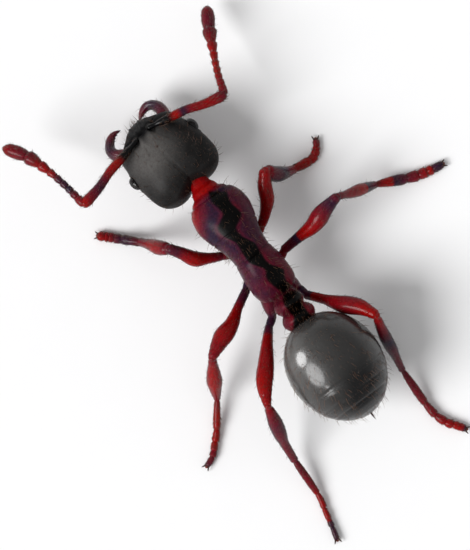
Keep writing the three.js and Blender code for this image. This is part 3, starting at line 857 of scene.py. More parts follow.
def head_skin():
    rows = [[-ahead, *rest] for ahead, *rest in HEAD_ROWS]
    skin = loft(rows, 170, 216, home=HEAD, inset=HEAD_INSET)
    x, y, _ = np.moveaxis(skin.points, -1, 0)
    fade = np.clip(1 + y / NOTCH["reach"], 0, 1)
    skin.points[..., 1] = y - NOTCH["depth"] * crest(x, NOTCH["half_width"]) * fade
    for sculpt in (sculpt_crown, sculpt_face, sculpt_shield, sculpt_throat):
        sculpt(skin)
    return skin


def sculpt_crown(skin):
    """The furrow down the middle, the swollen lobes at the back, and the rims of the eye sockets."""
    x, y, z = np.moveaxis(skin.points, -1, 0)
    upper = smooth(0.0, 0.25, z)
    furrow = crest(x, 0.02) * upper * smooth(-1.32, -1.1, y)
    skin.push(-0.026 * furrow * (0.5 + 0.5 * smooth(-0.9, -0.2, y)))
    skin.push(-0.02 * crest(x, 0.11) * upper * smooth(-0.75, -0.15, y))
    for side in SIDES:
        swell(skin, *BACK_LOBE, side)
        apart = np.linalg.norm((skin.points - mirrored(EYE_CENTRE, side)) / EYE_HALF_AXES, axis=-1)
        skin.push(0.012 * crest(apart - 1.32, 0.16) - 0.03 * crest(apart - 0.98, 0.14))


def sculpt_face(skin):
    """The frontal lobes, the hollows where the antennae sit, and the ridges beside them."""
    for side in SIDES:
        upper = smooth(0.1, 0.3, skin.points[..., 2])
        swell(skin, *FRONTAL_LOBE, side, upper)
        swell(skin, *ANTENNA_HOLLOW, side, upper)
        fold(skin, *FRONTAL_RIDGE, side, upper)
        fold(skin, *CHEEK_RIDGE, side)
        swell(skin, *HINGE_SWELLING, side)


def sculpt_shield(skin):
    """The shield over the mouth: raised, with a seam behind it and two keels that end in teeth."""
    x, y, z = np.moveaxis(skin.points, -1, 0)
    upper = smooth(-0.12, 0.02, z)
    skin.push(0.022 * smooth(0.36, 0.24, np.abs(x)) * smooth(-1.53, -1.62, y) * upper)
    fold(skin, *SHIELD_SEAM, within=upper)
    for side in SIDES:
        fold(skin, *SHIELD_KEEL, side, upper * smooth(-1.55, -1.66, y))


def sculpt_throat(skin):
    """The seam under the head, and the edge and hollow of the mouth."""
    x, y, z = np.moveaxis(skin.points, -1, 0)
    lower = smooth(0.0, 0.25, -z)
    skin.push(-0.014 * crest(x, 0.014) * lower * smooth(-1.5, -1.35, y))
    fold(skin, *MOUTH_RIM, within=lower)
    swell(skin, *MOUTH_HOLLOW, within=lower)


def head_shade_with_painted_light(skin):
    """Painted highlight high on the left of the crown, and painted shade underneath; darker to the front rim
    and at the back of the head.
    """
    x, y, z = np.moveaxis(skin.points, -1, 0)
    front = smooth(-1.3, -1.62, y + 0.12 * np.abs(x))
    # light is a painted highlight, and the last term is painted shade under the head
    light = hump(skin.points, (0.24, -1.08, 0.6), (0.52, 0.5, 0.5))
    return np.clip(0.88 - 1.06 * light + 0.9 * front + 0.2 * smooth(0.1, -0.3, z), 0, 1)


class ANT_OT_head(bpy.types.Operator):
    """Builds the head's shell, the teeth of its shield and its mouthparts"""

    bl_idname = "ant.head"
    bl_label = "Head"

    def execute(self, context):
        skin = head_skin()
        Piece().skin(skin, shade=head_shade_with_painted_light(skin)).finish("head_shell", "Head shell", "head_shell", ["head"])
        self.teeth()
        self.mouthparts()
        x, y, z = np.moveaxis(skin.points, -1, 0)
        apart = [np.linalg.norm(skin.points - mirrored(EYE_CENTRE, side), axis=-1) for side in SIDES]
        grows = np.clip(1 - sum(crest(distance, 0.2) for distance in apart), 0, 1)
        plant("head_bristles", "crown", skin, 150, (0.35 + smooth(-0.2, 0.3, z)) * grows)
        plant("head_bristles", "crown down", skin, 1200, grows * (1 - 0.85 * smooth(-1.25, -1.5, y)))
        plant("head_bristles", "shield", skin, 16, smooth(-1.8, -1.88, y) * smooth(-0.25, -0.1, z) + SPARSE)
        return {"FINISHED"}

    def teeth(self):
        """The teeth at the front of the shield."""
        piece = Piece()
        for side in SIDES:
            for x, y, length in SHIELD_TEETH:
                line = [(x, y, -0.06), (x + 0.012, y - length, -0.08)]
                piece.skin(spike(mirrored(line, side), 0.028, HEAD))
        piece.finish("shield_teeth", "Horn", "claw")

    def mouthparts(self):
        """The lip and the jaws' palps, folded under the shield."""
        piece = Piece()
        for part, side in [("lip", "left")] + [(part, side) for side in SIDES for part in ("jaw", "palp")]:
            corners, wide, tall, sides, shade = MOUTH[part]
            piece.skin(tube(Path(mirrored(corners, side)), wide, tall, home=HEAD, sides=sides), shade=shade)
        piece.finish("mouthparts", "Mandible shell", "mandible_shell")


class ANT_OT_eyes(bpy.types.Operator):
    """Builds the two compound eyes, each an egg set with six-sided rows of lenses"""

    bl_idname = "ant.eyes"
    bl_label = "Eyes"

    def execute(self, context):
        axes = EYE_HALF_AXES - EYE_INSET
        for side in SIDES:
            piece = Piece()
            piece.skin(ball(mirrored(EYE_CENTRE, side), axes, HEAD, rings=28, sides=36), shade=1)
            for row in range(-9, 10):
                for column in range(-9, 10):
                    y, z = FACET * (column + 0.5 * (row % 2)), FACET_ROWS * row
                    depth = 1 - (y / axes[1]) ** 2 - (z / axes[2]) ** 2
                    if depth > EYE_EDGE:
                        x = OUTWARD[side] * axes[0] * math.sqrt(depth)
                        self.lens(piece, side, np.array([x, y, z]), axes)
            piece.finish(f"eye_{side}_lenses", "Eye", "eye", [f"eye_{side}"])
        return {"FINISHED"}

    def lens(self, piece, side, spot, axes):
        """A six-sided dome on the eye, at a spot counted from its centre."""
        turned, origin = HEAD
        angle = ring_angles(LENS_SIDES)
        normal = unit(spot / axes**2)
        level = unit(np.cross(normal, UP))
        around = np.cos(angle)[:, None] * level + np.sin(angle)[:, None] * np.cross(level, normal)
        root = spot - LENS_DEPTH * normal
        rings = [root + LENS_RADIUS * math.sqrt(1 - height**2) * around + LENS_HEIGHT * height * normal
                 for height in LENS_RINGS]
        points = np.vstack([*rings, root + LENS_HEIGHT * normal]) + mirrored(EYE_CENTRE, side)
        faces = [*cone_faces(LENS_SIDES, len(LENS_RINGS)), list(range(LENS_SIDES))[::-1]]
        shade = np.full(len(points), 0.3)
        piece.add(points @ turned.T + origin, [face[::-1] for face in faces], shade=shade)


class ANT_OT_mandibles(bpy.types.Operator):
    """Builds the curved, toothed mandibles with their hinges"""

    bl_idname = "ant.mandibles"
    bl_label = "Mandibles"

    def execute(self, context):
        for side in SIDES:
            path = Path(MANDIBLE_LINES[side])
            skin = tube(path, MANDIBLE_WIDE, MANDIBLE_TALL, rings=60, sides=64, home=HEAD, caps=(0.5, 0.9))
            along, around = skin.grid()
            body = smooth(0.06, 0.2, along) * smooth(0.95, 0.7, along)
            skin.push(0.0034 * np.sin(2 * np.pi * MANDIBLE_STRIAE * around) * body)
            inner = skin.normals() @ np.array([-OUTWARD[side], 0, 0])
            skin.push(-0.016 * smooth(0.2, 0.9, inner) * smooth(0.1, 0.3, along) * smooth(0.75, 0.5, along))
            piece = Piece().skin(skin, shade=profile(MANDIBLE_SHADES, along))
            piece.skin(ball(mirrored((0.55, -1.56, -0.12), side), 0.12, HEAD), shade=0.6)
            for place, length in MANDIBLE_TEETH:
                way, radius = path.way(place), profile(MANDIBLE_WIDE, place)
                inward = unit(np.cross(way, UP) * OUTWARD[side])
                root = path.at(place) + inward * radius * 0.6
                tip = root + inward * (radius * 0.4 + length) + way * 0.02
                piece.skin(spike([root, tip], 0.03, HEAD), shade=1)
            piece.finish(f"mandible_{side}_horn", "Mandible shell", "mandible_shell", [f"mandible_{side}"])
            plant("head_bristles", "mandible", skin, 46, smooth(0.05, 0.3, along))
        return {"FINISHED"}


# ---------------------------------------------------------------------------------------------------------
# Antennae
# ---------------------------------------------------------------------------------------------------------

# Centre lines in the head's home: the scape from its socket to the elbow, and the flagellum on from there.
ANTENNAE = {
    "left": {
        "scape": [(0.2, -1.5, 0.5), (0.603, -1.43, 0.61), (1.01, -1.38, 0.71), (1.41, -1.29, 0.77),
                  (1.89, -1.25, 0.83)],
        "flagellum": [(1.87, -1.8, 0.86), (1.9, -2.35, 0.88), (1.99, -2.87, 0.89), (2.19, -3.35, 0.9)],
    },
    "right": {
        "scape": [(-0.2, -1.5, 0.5), (-0.589, -1.33, 0.52), (-0.978, -1.18, 0.51), (-1.35, -0.98, 0.46),
                  (-1.75, -0.84, 0.4)],
        "flagellum": [(-2.0, -1.34, 0.29), (-2.26, -1.77, 0.17), (-2.53, -2.2, 0.04), (-2.83, -2.62, -0.1)],
    },
}
# Half widths as (share of the length, half width) stops, without the limbs' own swelling.
SCAPE_WIDE = [(0, 0.042), (0.06, 0.034), (0.13, 0.06), (0.35, 0.08), (0.6, 0.078), (0.86, 0.095),
              (0.95, 0.104), (1, 0.085)]
FLAGELLUM_WIDE = [(0, 0.085), (0.08, 0.072), (0.25, 0.06), (0.4, 0.06), (0.57, 0.09), (0.75, 0.13),
                  (0.92, 0.142), (1, 0.12)]
CLUB_TIP_WIDE = [(0, 0.085), (0.1, 0.12), (0.45, 0.142), (0.75, 0.132), (0.93, 0.09), (1, 0.05)]
SWELLING = 0.013
FLAGELLUM_EDGES = [0, 0.095, 0.165, 0.235, 0.31, 0.39, 0.48, 0.59, 0.745, 1.0]
CLUB_START = 7  # order of the club's first bead, counted from 0
# Shades from bright (0) to plum (1) along each part.
ANTENNA_SHADES = {
    "left": {"scape": [(0, 0.25), (0.3, 0), (0.5, 0.1), (0.72, 0.9), (0.85, 0.5), (1, 0)],
             "flagellum": [(0, 0.15), (0.12, 0.5), (0.22, 0.95), (0.34, 0.85), (0.46, 0.1), (0.6, 0.15),
                           (0.75, 0.55), (0.9, 0.35), (1, 0.1)]},
    "right": {"scape": [(0, 0.3), (0.25, 0), (0.36, 0.05), (0.45, 0.95), (0.58, 0.3), (0.8, 0.15), (1, 0.6)],
              "flagellum": [(0, 0.6), (0.1, 0.35), (0.3, 0.0), (0.45, 0.05), (0.6, 0.3), (0.8, 0.6),
                            (1, 0.45)]},
}


def swollen(stops):
    """Half widths measured between a limb's edges, brought out to its full thickness."""
    return [(place, size + SWELLING) for place, size in stops]


def segment(path, span, wide, **options):
    """One bead of a jointed limb: narrow at its root, with a rim at its far end."""
    start, middle, end = (profile(wide, place) for place in (span[0], sum(span) / 2, span[1]))
    stops = [(0, 0.62 * start), (0.12, 0.84 * start), (0.5, middle), (0.88, 1.04 * end), (1, 0.9 * end)]
    return tube(path, stops, span=span, caps=(0.3, 0.35), **options)


class ANT_OT_antennae(bpy.types.Operator):
    """Builds the elbowed antennae: a long scape, then nine beads of which the last two make a club"""

    bl_idname = "ant.antennae"
    bl_label = "Antennae"

    def execute(self, context):
        for side in SIDES:
            self.scape(side)
            self.socket_rim(side)
            self.flagellum(side)
        return {"FINISHED"}

    def scape(self, side):
        line = ANTENNAE[side]["scape"]
        options = {"span": (0.02, 0.985), "rings": 60, "home": HEAD, "caps": (0.5, 0.7)}
        skin = tube(Path(line), swollen(SCAPE_WIDE), **options)
        along, _ = skin.grid()
        shade = profile(ANTENNA_SHADES[side]["scape"], along)
        piece = Piece().skin(skin, shade=shade, band=smooth(0.36, 0.24, along))
        piece.skin(ball(line[0], (0.055, 0.055, 0.05), HEAD), shade=0.5, band=1)
        piece.finish(f"scape_{side}_shell", "Limb shell", "antenna_shell", [f"scape_{side}"])
        for kind, number in (("scape", 130), ("scape down", 500)):
            plant(f"antenna_{side}_bristles", kind, skin, number, smooth(0.05, 0.15, along))

    def socket_rim(self, side):
        """The raised rim that the antenna turns in."""
        centre = np.array(ANTENNAE[side]["scape"][0]) - [0, 0, SOCKET_RIM["depth"]]
        angle = np.linspace(0, 2 * np.pi, 25)
        radius, thickness = SOCKET_RIM["radius"], SOCKET_RIM["thickness"]
        ring = centre + np.stack([radius * np.cos(angle), radius * np.sin(angle), 0 * angle], -1)
        skin = tube(Path(ring), [(0, thickness), (1, thickness)], rings=60, sides=14, home=HEAD)
        Piece().skin(skin, shade=0.8).finish(f"socket_{side}_rim", "Head shell", "head_shell")

    def flagellum(self, side):
        coat = f"antenna_{side}_bristles"
        shades = ANTENNA_SHADES[side]["flagellum"]
        line = Path([ANTENNAE[side]["scape"][-1], *ANTENNAE[side]["flagellum"]])
        parts = {"funiculus": Piece(), "club": Piece()}
        for order, (start, end) in enumerate(zip(FLAGELLUM_EDGES, FLAGELLUM_EDGES[1:])):
            in_club = order >= CLUB_START
            if end < 1:
                span = start + 0.004, end - 0.002
                bead = segment(line, span, swollen(FLAGELLUM_WIDE), rings=18, home=HEAD)
            else:
                span = start + 0.004, end
                bead = tube(line, CLUB_TIP_WIDE, span=span, rings=34, home=HEAD, caps=(0.3, 0.5))
            place = start + (end - start) * bead.grid()[0]
            parts["club" if in_club else "funiculus"].skin(bead, shade=profile(shades, place))
            plant(coat, "bead down", bead, 420 if in_club else 110)
            plant(coat, "bead", bead, 34 if in_club else 10)
        for name, part in parts.items():
            part.finish(f"{name}_{side}_shell", "Limb shell", "antenna_shell", [f"{name}_{side}"])


# ---------------------------------------------------------------------------------------------------------
# Trunk, waist and gaster
# ---------------------------------------------------------------------------------------------------------

# Rows along the body: [Y, half width, top, bottom].
NECK_ROWS = [[-1.5, 0.19, 1.57, 1.25], [-1.3, 0.24, 1.65, 1.19], [-1.08, 0.3, 1.74, 1.12]]
TRUNK_ROWS = [
    [-1.14, 0.3, 1.74, 1.12],
    [-1.03, 0.44, 1.9, 1.02],
    [-0.83, 0.57, 2.06, 0.97],
    [-0.54, 0.62, 2.16, 0.95],
    [-0.26, 0.565, 2.19, 0.95],
    [0.02, 0.47, 2.17, 0.95],
    [0.24, 0.42, 2.09, 0.95],
    [0.42, 0.405, 1.98, 0.95],
    [0.6, 0.43, 2.01, 0.95],
    [0.88, 0.465, 1.99, 0.96],
    [1.16, 0.465, 1.89, 1.0],
    [1.36, 0.41, 1.72, 1.06],
    [1.46, 0.28, 1.56, 1.15],
    [1.5, 0, 1.36, 1.36],
]
PETIOLE_ROWS = [
    [1.44, 0.2, 1.48, 1.22],
    [1.54, 0.26, 1.61, 1.18],
    [1.61, 0.31, 1.82, 1.15],
    [1.68, 0.335, 1.91, 1.14],
    [1.76, 0.33, 1.9, 1.15],
    [1.83, 0.295, 1.76, 1.18],
    [1.9, 0.25, 1.56, 1.21],
]
POSTPETIOLE_ROWS = [
    [1.85, 0.25, 1.54, 1.19],
    [1.91, 0.315, 1.68, 1.14],
    [1.98, 0.365, 1.77, 1.1],
    [2.06, 0.38, 1.8, 1.09],
    [2.13, 0.36, 1.77, 1.11],
    [2.19, 0.325, 1.7, 1.14],
    [2.25, 0.28, 1.61, 1.18],
]
BODY_INSET = -0.012
PLATE_ENDS = {"pronotum": (-1.14, -0.185), "mesothorax": (-0.215, 0.435), "propodeum": (0.405, 1.5)}
LIPS = {"neck": 0.02, "trunk": 0.022, "waist": 0.015, "gaster": 0.009}  # radii of the rolled edges
NECK_FOLDS = 11  # fine rings around the neck, counted over its length
# Spots of the plates that stand out or sink in, on the left side: [height, centre, spread].
SHOULDER = [0.02, (0.42, -0.78, 1.86), (0.16, 0.2, 0.16)]
COXA_SWELLING = [0.022, (0.46, 0.1, 1.22), (0.12, 0.2, 0.16)]
GLAND = [0.04, (0.44, 1.2, 1.2), (0.12, 0.17, 0.13)]
WAIST_TEETH = {"petiole": [0.05, (0, 1.6, 1.18), (0.035, 0.06, 0.05)],
               "postpetiole": [0.03, (0, 1.98, 1.12), (0.1, 0.06, 0.05)]}
# Their seams, on the left side: [height, corners, width].
COLLAR_SEAM = [-0.022, [(0.35, -1.05, 1.25), (0.56, -0.75, 1.22), (0.6, -0.3, 1.15)], 0.022]
OBLIQUE_SEAM = [-0.02, [(0.5, -0.18, 1.75), (0.47, 0.05, 1.5), (0.42, 0.4, 1.4)], 0.02]
UPRIGHT_SEAM = [-0.014, [(0.45, 0.3, 1.85), (0.42, 0.28, 1.5)], 0.018]
GLAND_SLIT = [-0.026, [(0.44, 1.12, 1.31), (0.4, 1.34, 1.27)], 0.014]
REAR_SEAM = [-0.018, [(0.42, 0.45, 1.7), (0.47, 0.75, 1.42), (0.47, 1.1, 1.36)], 0.018]
SPIRACLE = (0.455, 0.86, 1.62)
# Soft joints around the waist: [Y, Z, half axes].
WAIST_JOINTS = [[1.5, 1.35, (0.12, 0.07, 0.1)], [1.87, 1.345, (0.12, 0.05, 0.1)],
                [2.21, 1.38, (0.16, 0.07, 0.15)]]
GASTER_CENTRE = np.array([0, 3.34, 1.43])
GASTER_HALF_AXES = np.array([1.0, 1.2, 0.83])
GASTER_TAPER = 0.03
GASTER_CUTS = [0.345, 0.675, 0.915]  # behind its centre
GASTER_OVERLAP = 0.07  # how far a ring starts under the ring before it
GASTER_BRISTLES = [110, 56, 40, 34]  # on each ring
GASTER_DOWN = [800, 260, 160, 120]
STING = [(0, -0.08, -0.03), (0, 0.06, -0.05), (0, 0.17, -0.1)]  # counted from the gaster's tip

# Middle of the zigzag as (along, across), measured along and across a line that runs back and to the left.
ZIGZAG = [(-0.94, -0.45), (-0.73, -0.375), (-0.455, -0.145), (-0.32, -0.195), (-0.18, -0.25), (-0.02, -0.137),
          (0.14, 0.14), (0.33, 0.257), (0.54, 0.414), (0.675, 0.724), (0.86, 0.76), (1.04, 0.935),
          (1.17, 1.09), (1.345, 1.1), (1.53, 1.22), (1.645, 1.31)]
SHOULDER_SHADES = [(-0.3, 0.84), (0.1, 0.84), (0.36, 0.92), (0.56, 1.0), (0.74, 0.72), (0.94, 0.2),
                   (1.1, 0.1)]
REAR_SHADES = [(-0.3, 0.94), (0.3, 0.88), (1.2, 0.82), (1.7, 0.72), (2.2, 0.66)]
ZIGZAG_HALF_WIDTH = 0.195
ZIGZAG_EDGE = 0.035


def trunk_marks(skin):
    """The black zigzag along the back, the bright neck and left shoulder, and the plum patch behind it."""
    x, y, z = np.moveaxis(skin.points, -1, 0)
    above = smooth(1.42, 1.6, z)
    along, across = 0.6 * x + 0.8 * y, 0.6 * y - 0.8 * x
    within = smooth(ZIGZAG[0][0] - ZIGZAG_EDGE, ZIGZAG[0][0] + ZIGZAG_EDGE, along) * above
    apart = np.abs(across - profile(ZIGZAG, along))
    band = smooth(ZIGZAG_HALF_WIDTH + ZIGZAG_EDGE, ZIGZAG_HALF_WIDTH - ZIGZAG_EDGE, apart) * within
    rim = crest(apart - ZIGZAG_HALF_WIDTH - ZIGZAG_EDGE, 0.05) * within
    shoulder = profile(SHOULDER_SHADES, 0.8 * x - 0.6 * y)
    rear = profile(REAR_SHADES, y) - 0.14 * smooth(0.1, -0.4, x) * smooth(0, 1, y)
    shade = shoulder + (rear - shoulder) * smooth(-0.3, 0.1, y)
    shade = shade * smooth(-1.2, -1.0, y) - 0.1 * rim
    return {"band": band, "shade": np.clip(shade, 0, 1)}


def finish_plate(skin, name, look, slot, marks):
    """Makes a plate's skin into the piece that stands for its node."""
    Piece().skin(skin, **marks).finish(f"{name}_shell", look, slot, [name])


def stretch(skin, low, high):
    """1 on the rings between two shares of a skin's length, and 0 on the others."""
    return 1.0 * ((low < skin.along) & (skin.along < high))[:, None]


class ANT_OT_trunk(bpy.types.Operator):
    """Builds the neck and the three plates of the trunk, with their seams, spiracles and gland swellings"""

    bl_idname = "ant.trunk"
    bl_label = "Trunk"

    def execute(self, context):
        self.neck()
        for name, span in PLATE_ENDS.items():
            skin = loft(TRUNK_ROWS, 76, 176, span=span, inset=BODY_INSET)
            getattr(self, name)(skin)
            skin = rolled(skin, LIPS["trunk"], (True, name != "propodeum"))
            finish_plate(skin, name, "Trunk shell", "trunk_shell", trunk_marks(skin))
            inside = stretch(skin, 0.04, 0.97)
            upper = smooth(1.5, 1.9, skin.points[..., 2])
            plant("trunk_bristles", "back", skin, 50, (0.06 + upper) * inside)
            plant("trunk_bristles", "back down", skin, 420, inside)
        return {"FINISHED"}

    def neck(self):
        skin = loft(NECK_ROWS, 40, 96, inset=0.005)
        along, _ = skin.grid()
        folds = 0.004 * np.sin(2 * np.pi * NECK_FOLDS * along) * smooth(0.5, 0.3, along)
        skin.push(folds + 0.03 * smooth(0.45, 0.7, along))
        marks = {"shade": 0.05, "band": 0}
        finish_plate(rolled(skin, LIPS["neck"]), "neck", "Trunk shell", "trunk_shell", marks)

    def pronotum(self, skin):
        skin.push(-0.022 * crest(skin.points[..., 1] + 1.03, 0.03))
        for side in SIDES:
            swell(skin, *SHOULDER, side)
            fold(skin, *COLLAR_SEAM, side)

    def mesothorax(self, skin):
        skin.push(-0.02 * smooth(-0.1, -0.17, skin.points[..., 1]))
        for side in SIDES:
            fold(skin, *OBLIQUE_SEAM, side)
            fold(skin, *UPRIGHT_SEAM, side)
            swell(skin, *COXA_SWELLING, side)
        skin.push(-0.014 * crest(skin.points[..., 1] - 0.33, 0.03) * smooth(1.75, 1.95, skin.points[..., 2]))

    def propodeum(self, skin):
        x, y, z = np.moveaxis(skin.points, -1, 0)
        skin.push(-0.016 * smooth(0.5, 0.44, y) - 0.02 * crest(y - 0.47, 0.035) * smooth(1.6, 1.85, z))
        skin.push(-0.012 * crest(x, 0.1) * smooth(0.6, 0.8, y) * smooth(1.6, 1.8, z))
        for side in SIDES:
            swell(skin, *GLAND, side)
            fold(skin, *GLAND_SLIT, side)
            fold(skin, *REAR_SEAM, side)
            hole = np.linalg.norm(skin.points - mirrored(SPIRACLE, side), axis=-1)
            skin.push(0.012 * crest(hole - 0.045, 0.02) - 0.035 * crest(hole, 0.028))


class ANT_OT_waist(bpy.types.Operator):
    """Builds the petiole and the postpetiole, and the soft joints around them"""

    bl_idname = "ant.waist"
    bl_label = "Waist"

    def execute(self, context):
        for name, rows in (("petiole", PETIOLE_ROWS), ("postpetiole", POSTPETIOLE_ROWS)):
            skin = rolled(loft(rows, 70, 120, squareness=2.15, inset=0.004), LIPS["waist"])
            x, y, z = np.moveaxis(skin.points, -1, 0)
            swell(skin, *WAIST_TEETH[name])
            if name == "petiole":
                skin.push(-0.01 * crest(x, 0.08) * smooth(1.7, 1.9, z))
            finish_plate(skin, name, "Trunk shell", "waist_shell", trunk_marks(skin))
            upper = smooth(1.45, 1.7, z) * smooth(rows[0][0] + 0.04, rows[0][0] + 0.1, y)
            plant("waist_bristles", "waist", skin, 26, 0.03 + upper)
            plant("waist_bristles", "waist down", skin, 260)
        joints = Piece()
        for y, z, half_axes in WAIST_JOINTS:
            skin = ball((0, y, z), half_axes, rings=30, sides=40)
            skin.push(0.006 * np.sin(200 * skin.points[..., 1]))
            joints.skin(skin, shade=0.4)
        joints.finish("waist_joints", "Joint skin", "waist_shell")
        return {"FINISHED"}


def gaster_rows():
    """Rows of the gaster, an egg that is a little narrower behind."""
    rows = []
    _, middle, height = GASTER_CENTRE
    for angle in np.linspace(0, np.pi, 25):
        along = -math.cos(angle)
        width = max(math.sin(angle) * (1 - GASTER_TAPER * along), 0)
        wide, long, high = GASTER_HALF_AXES * [width, along, width]
        rows.append([middle + long, wide, height + high, height - high])
    rows[0][1] = rows[-1][1] = 0
    return rows


class ANT_OT_gaster(bpy.types.Operator):
    """Builds the gaster's four rings of overlapping plates, and the sting"""

    bl_idname = "ant.gaster"
    bl_label = "Gaster"

    def execute(self, context):
        rows = gaster_rows()
        front, back = rows[0][0], rows[-1][0]
        cuts = [GASTER_CENTRE[1] + cut for cut in GASTER_CUTS]
        starts = [front] + [cut - GASTER_OVERLAP for cut in cuts]
        for order, span in enumerate(zip(starts, [*cuts, back])):
            skin = loft(rows, 46 if order else 110, 200, span=span, squareness=2)
            self.tuck(skin, *span, order)
            skin = rolled(skin, LIPS["gaster"], (order > 0, order < len(cuts)))
            marks = {"shade": self.shade(skin)}
            finish_plate(skin, f"gaster_{order + 1}", "Gaster shell", "gaster_shell", marks)
            inside = stretch(skin, 0.2 if order else 0.02, 0.99)
            upper = 0.35 + 0.65 * smooth(1.2, 1.7, skin.points[..., 2])
            plant("gaster_bristles", "gaster", skin, GASTER_BRISTLES[order], upper * inside)
            plant("gaster_bristles", "gaster down", skin, GASTER_DOWN[order], inside)
        line = np.array([0, back, GASTER_CENTRE[2]]) + STING
        Piece().skin(spike(line, 0.026, tip=0.04)).finish("sting", "Horn", "claw")
        return {"FINISHED"}

    def tuck(self, skin, start, end, order):
        """Sinks the front of a ring under the ring before it, and its lower plate under its upper one."""
        _, y, z = np.moveaxis(skin.points, -1, 0)
        if order > 0:
            skin.push(-0.014 * smooth(start + 0.16, start + 0.04, y))
        skin.push(-0.006 * crest(y - end + 0.05, 0.025) + 0.002 * crest(y - end, 0.02))
        along = (y - GASTER_CENTRE[1]) / GASTER_HALF_AXES[1]
        drop = GASTER_CENTRE[2] - 0.3 * np.sqrt(np.clip(1 - along**2, 0, 1))
        skin.push(-0.02 * smooth(0.0, -0.02, z - drop))

    def shade(self, skin):
        """Painted light: a painted highlight towards the ant's left and front, and painted shade low down, at
        the back, and darkest low at the back on the right.
        """
        _, y, z = np.moveaxis(skin.points, -1, 0)
        # light is a painted highlight; dark, low and rear are painted shade
        light = hump(skin.points[..., :2], (0.75, 3.0), (0.9, 1.1))
        dark = hump(skin.points[..., :2], (-0.24, 4.06), (0.44, 0.52))
        low, rear = smooth(1.6, 0.9, z), smooth(3.7, 4.4, y)
        return np.clip(0.63 - 0.16 * light * (1 - low) + 0.55 * dark + 0.25 * low + 0.15 * rear, 0, 1)


# ---------------------------------------------------------------------------------------------------------
# Legs
# ---------------------------------------------------------------------------------------------------------

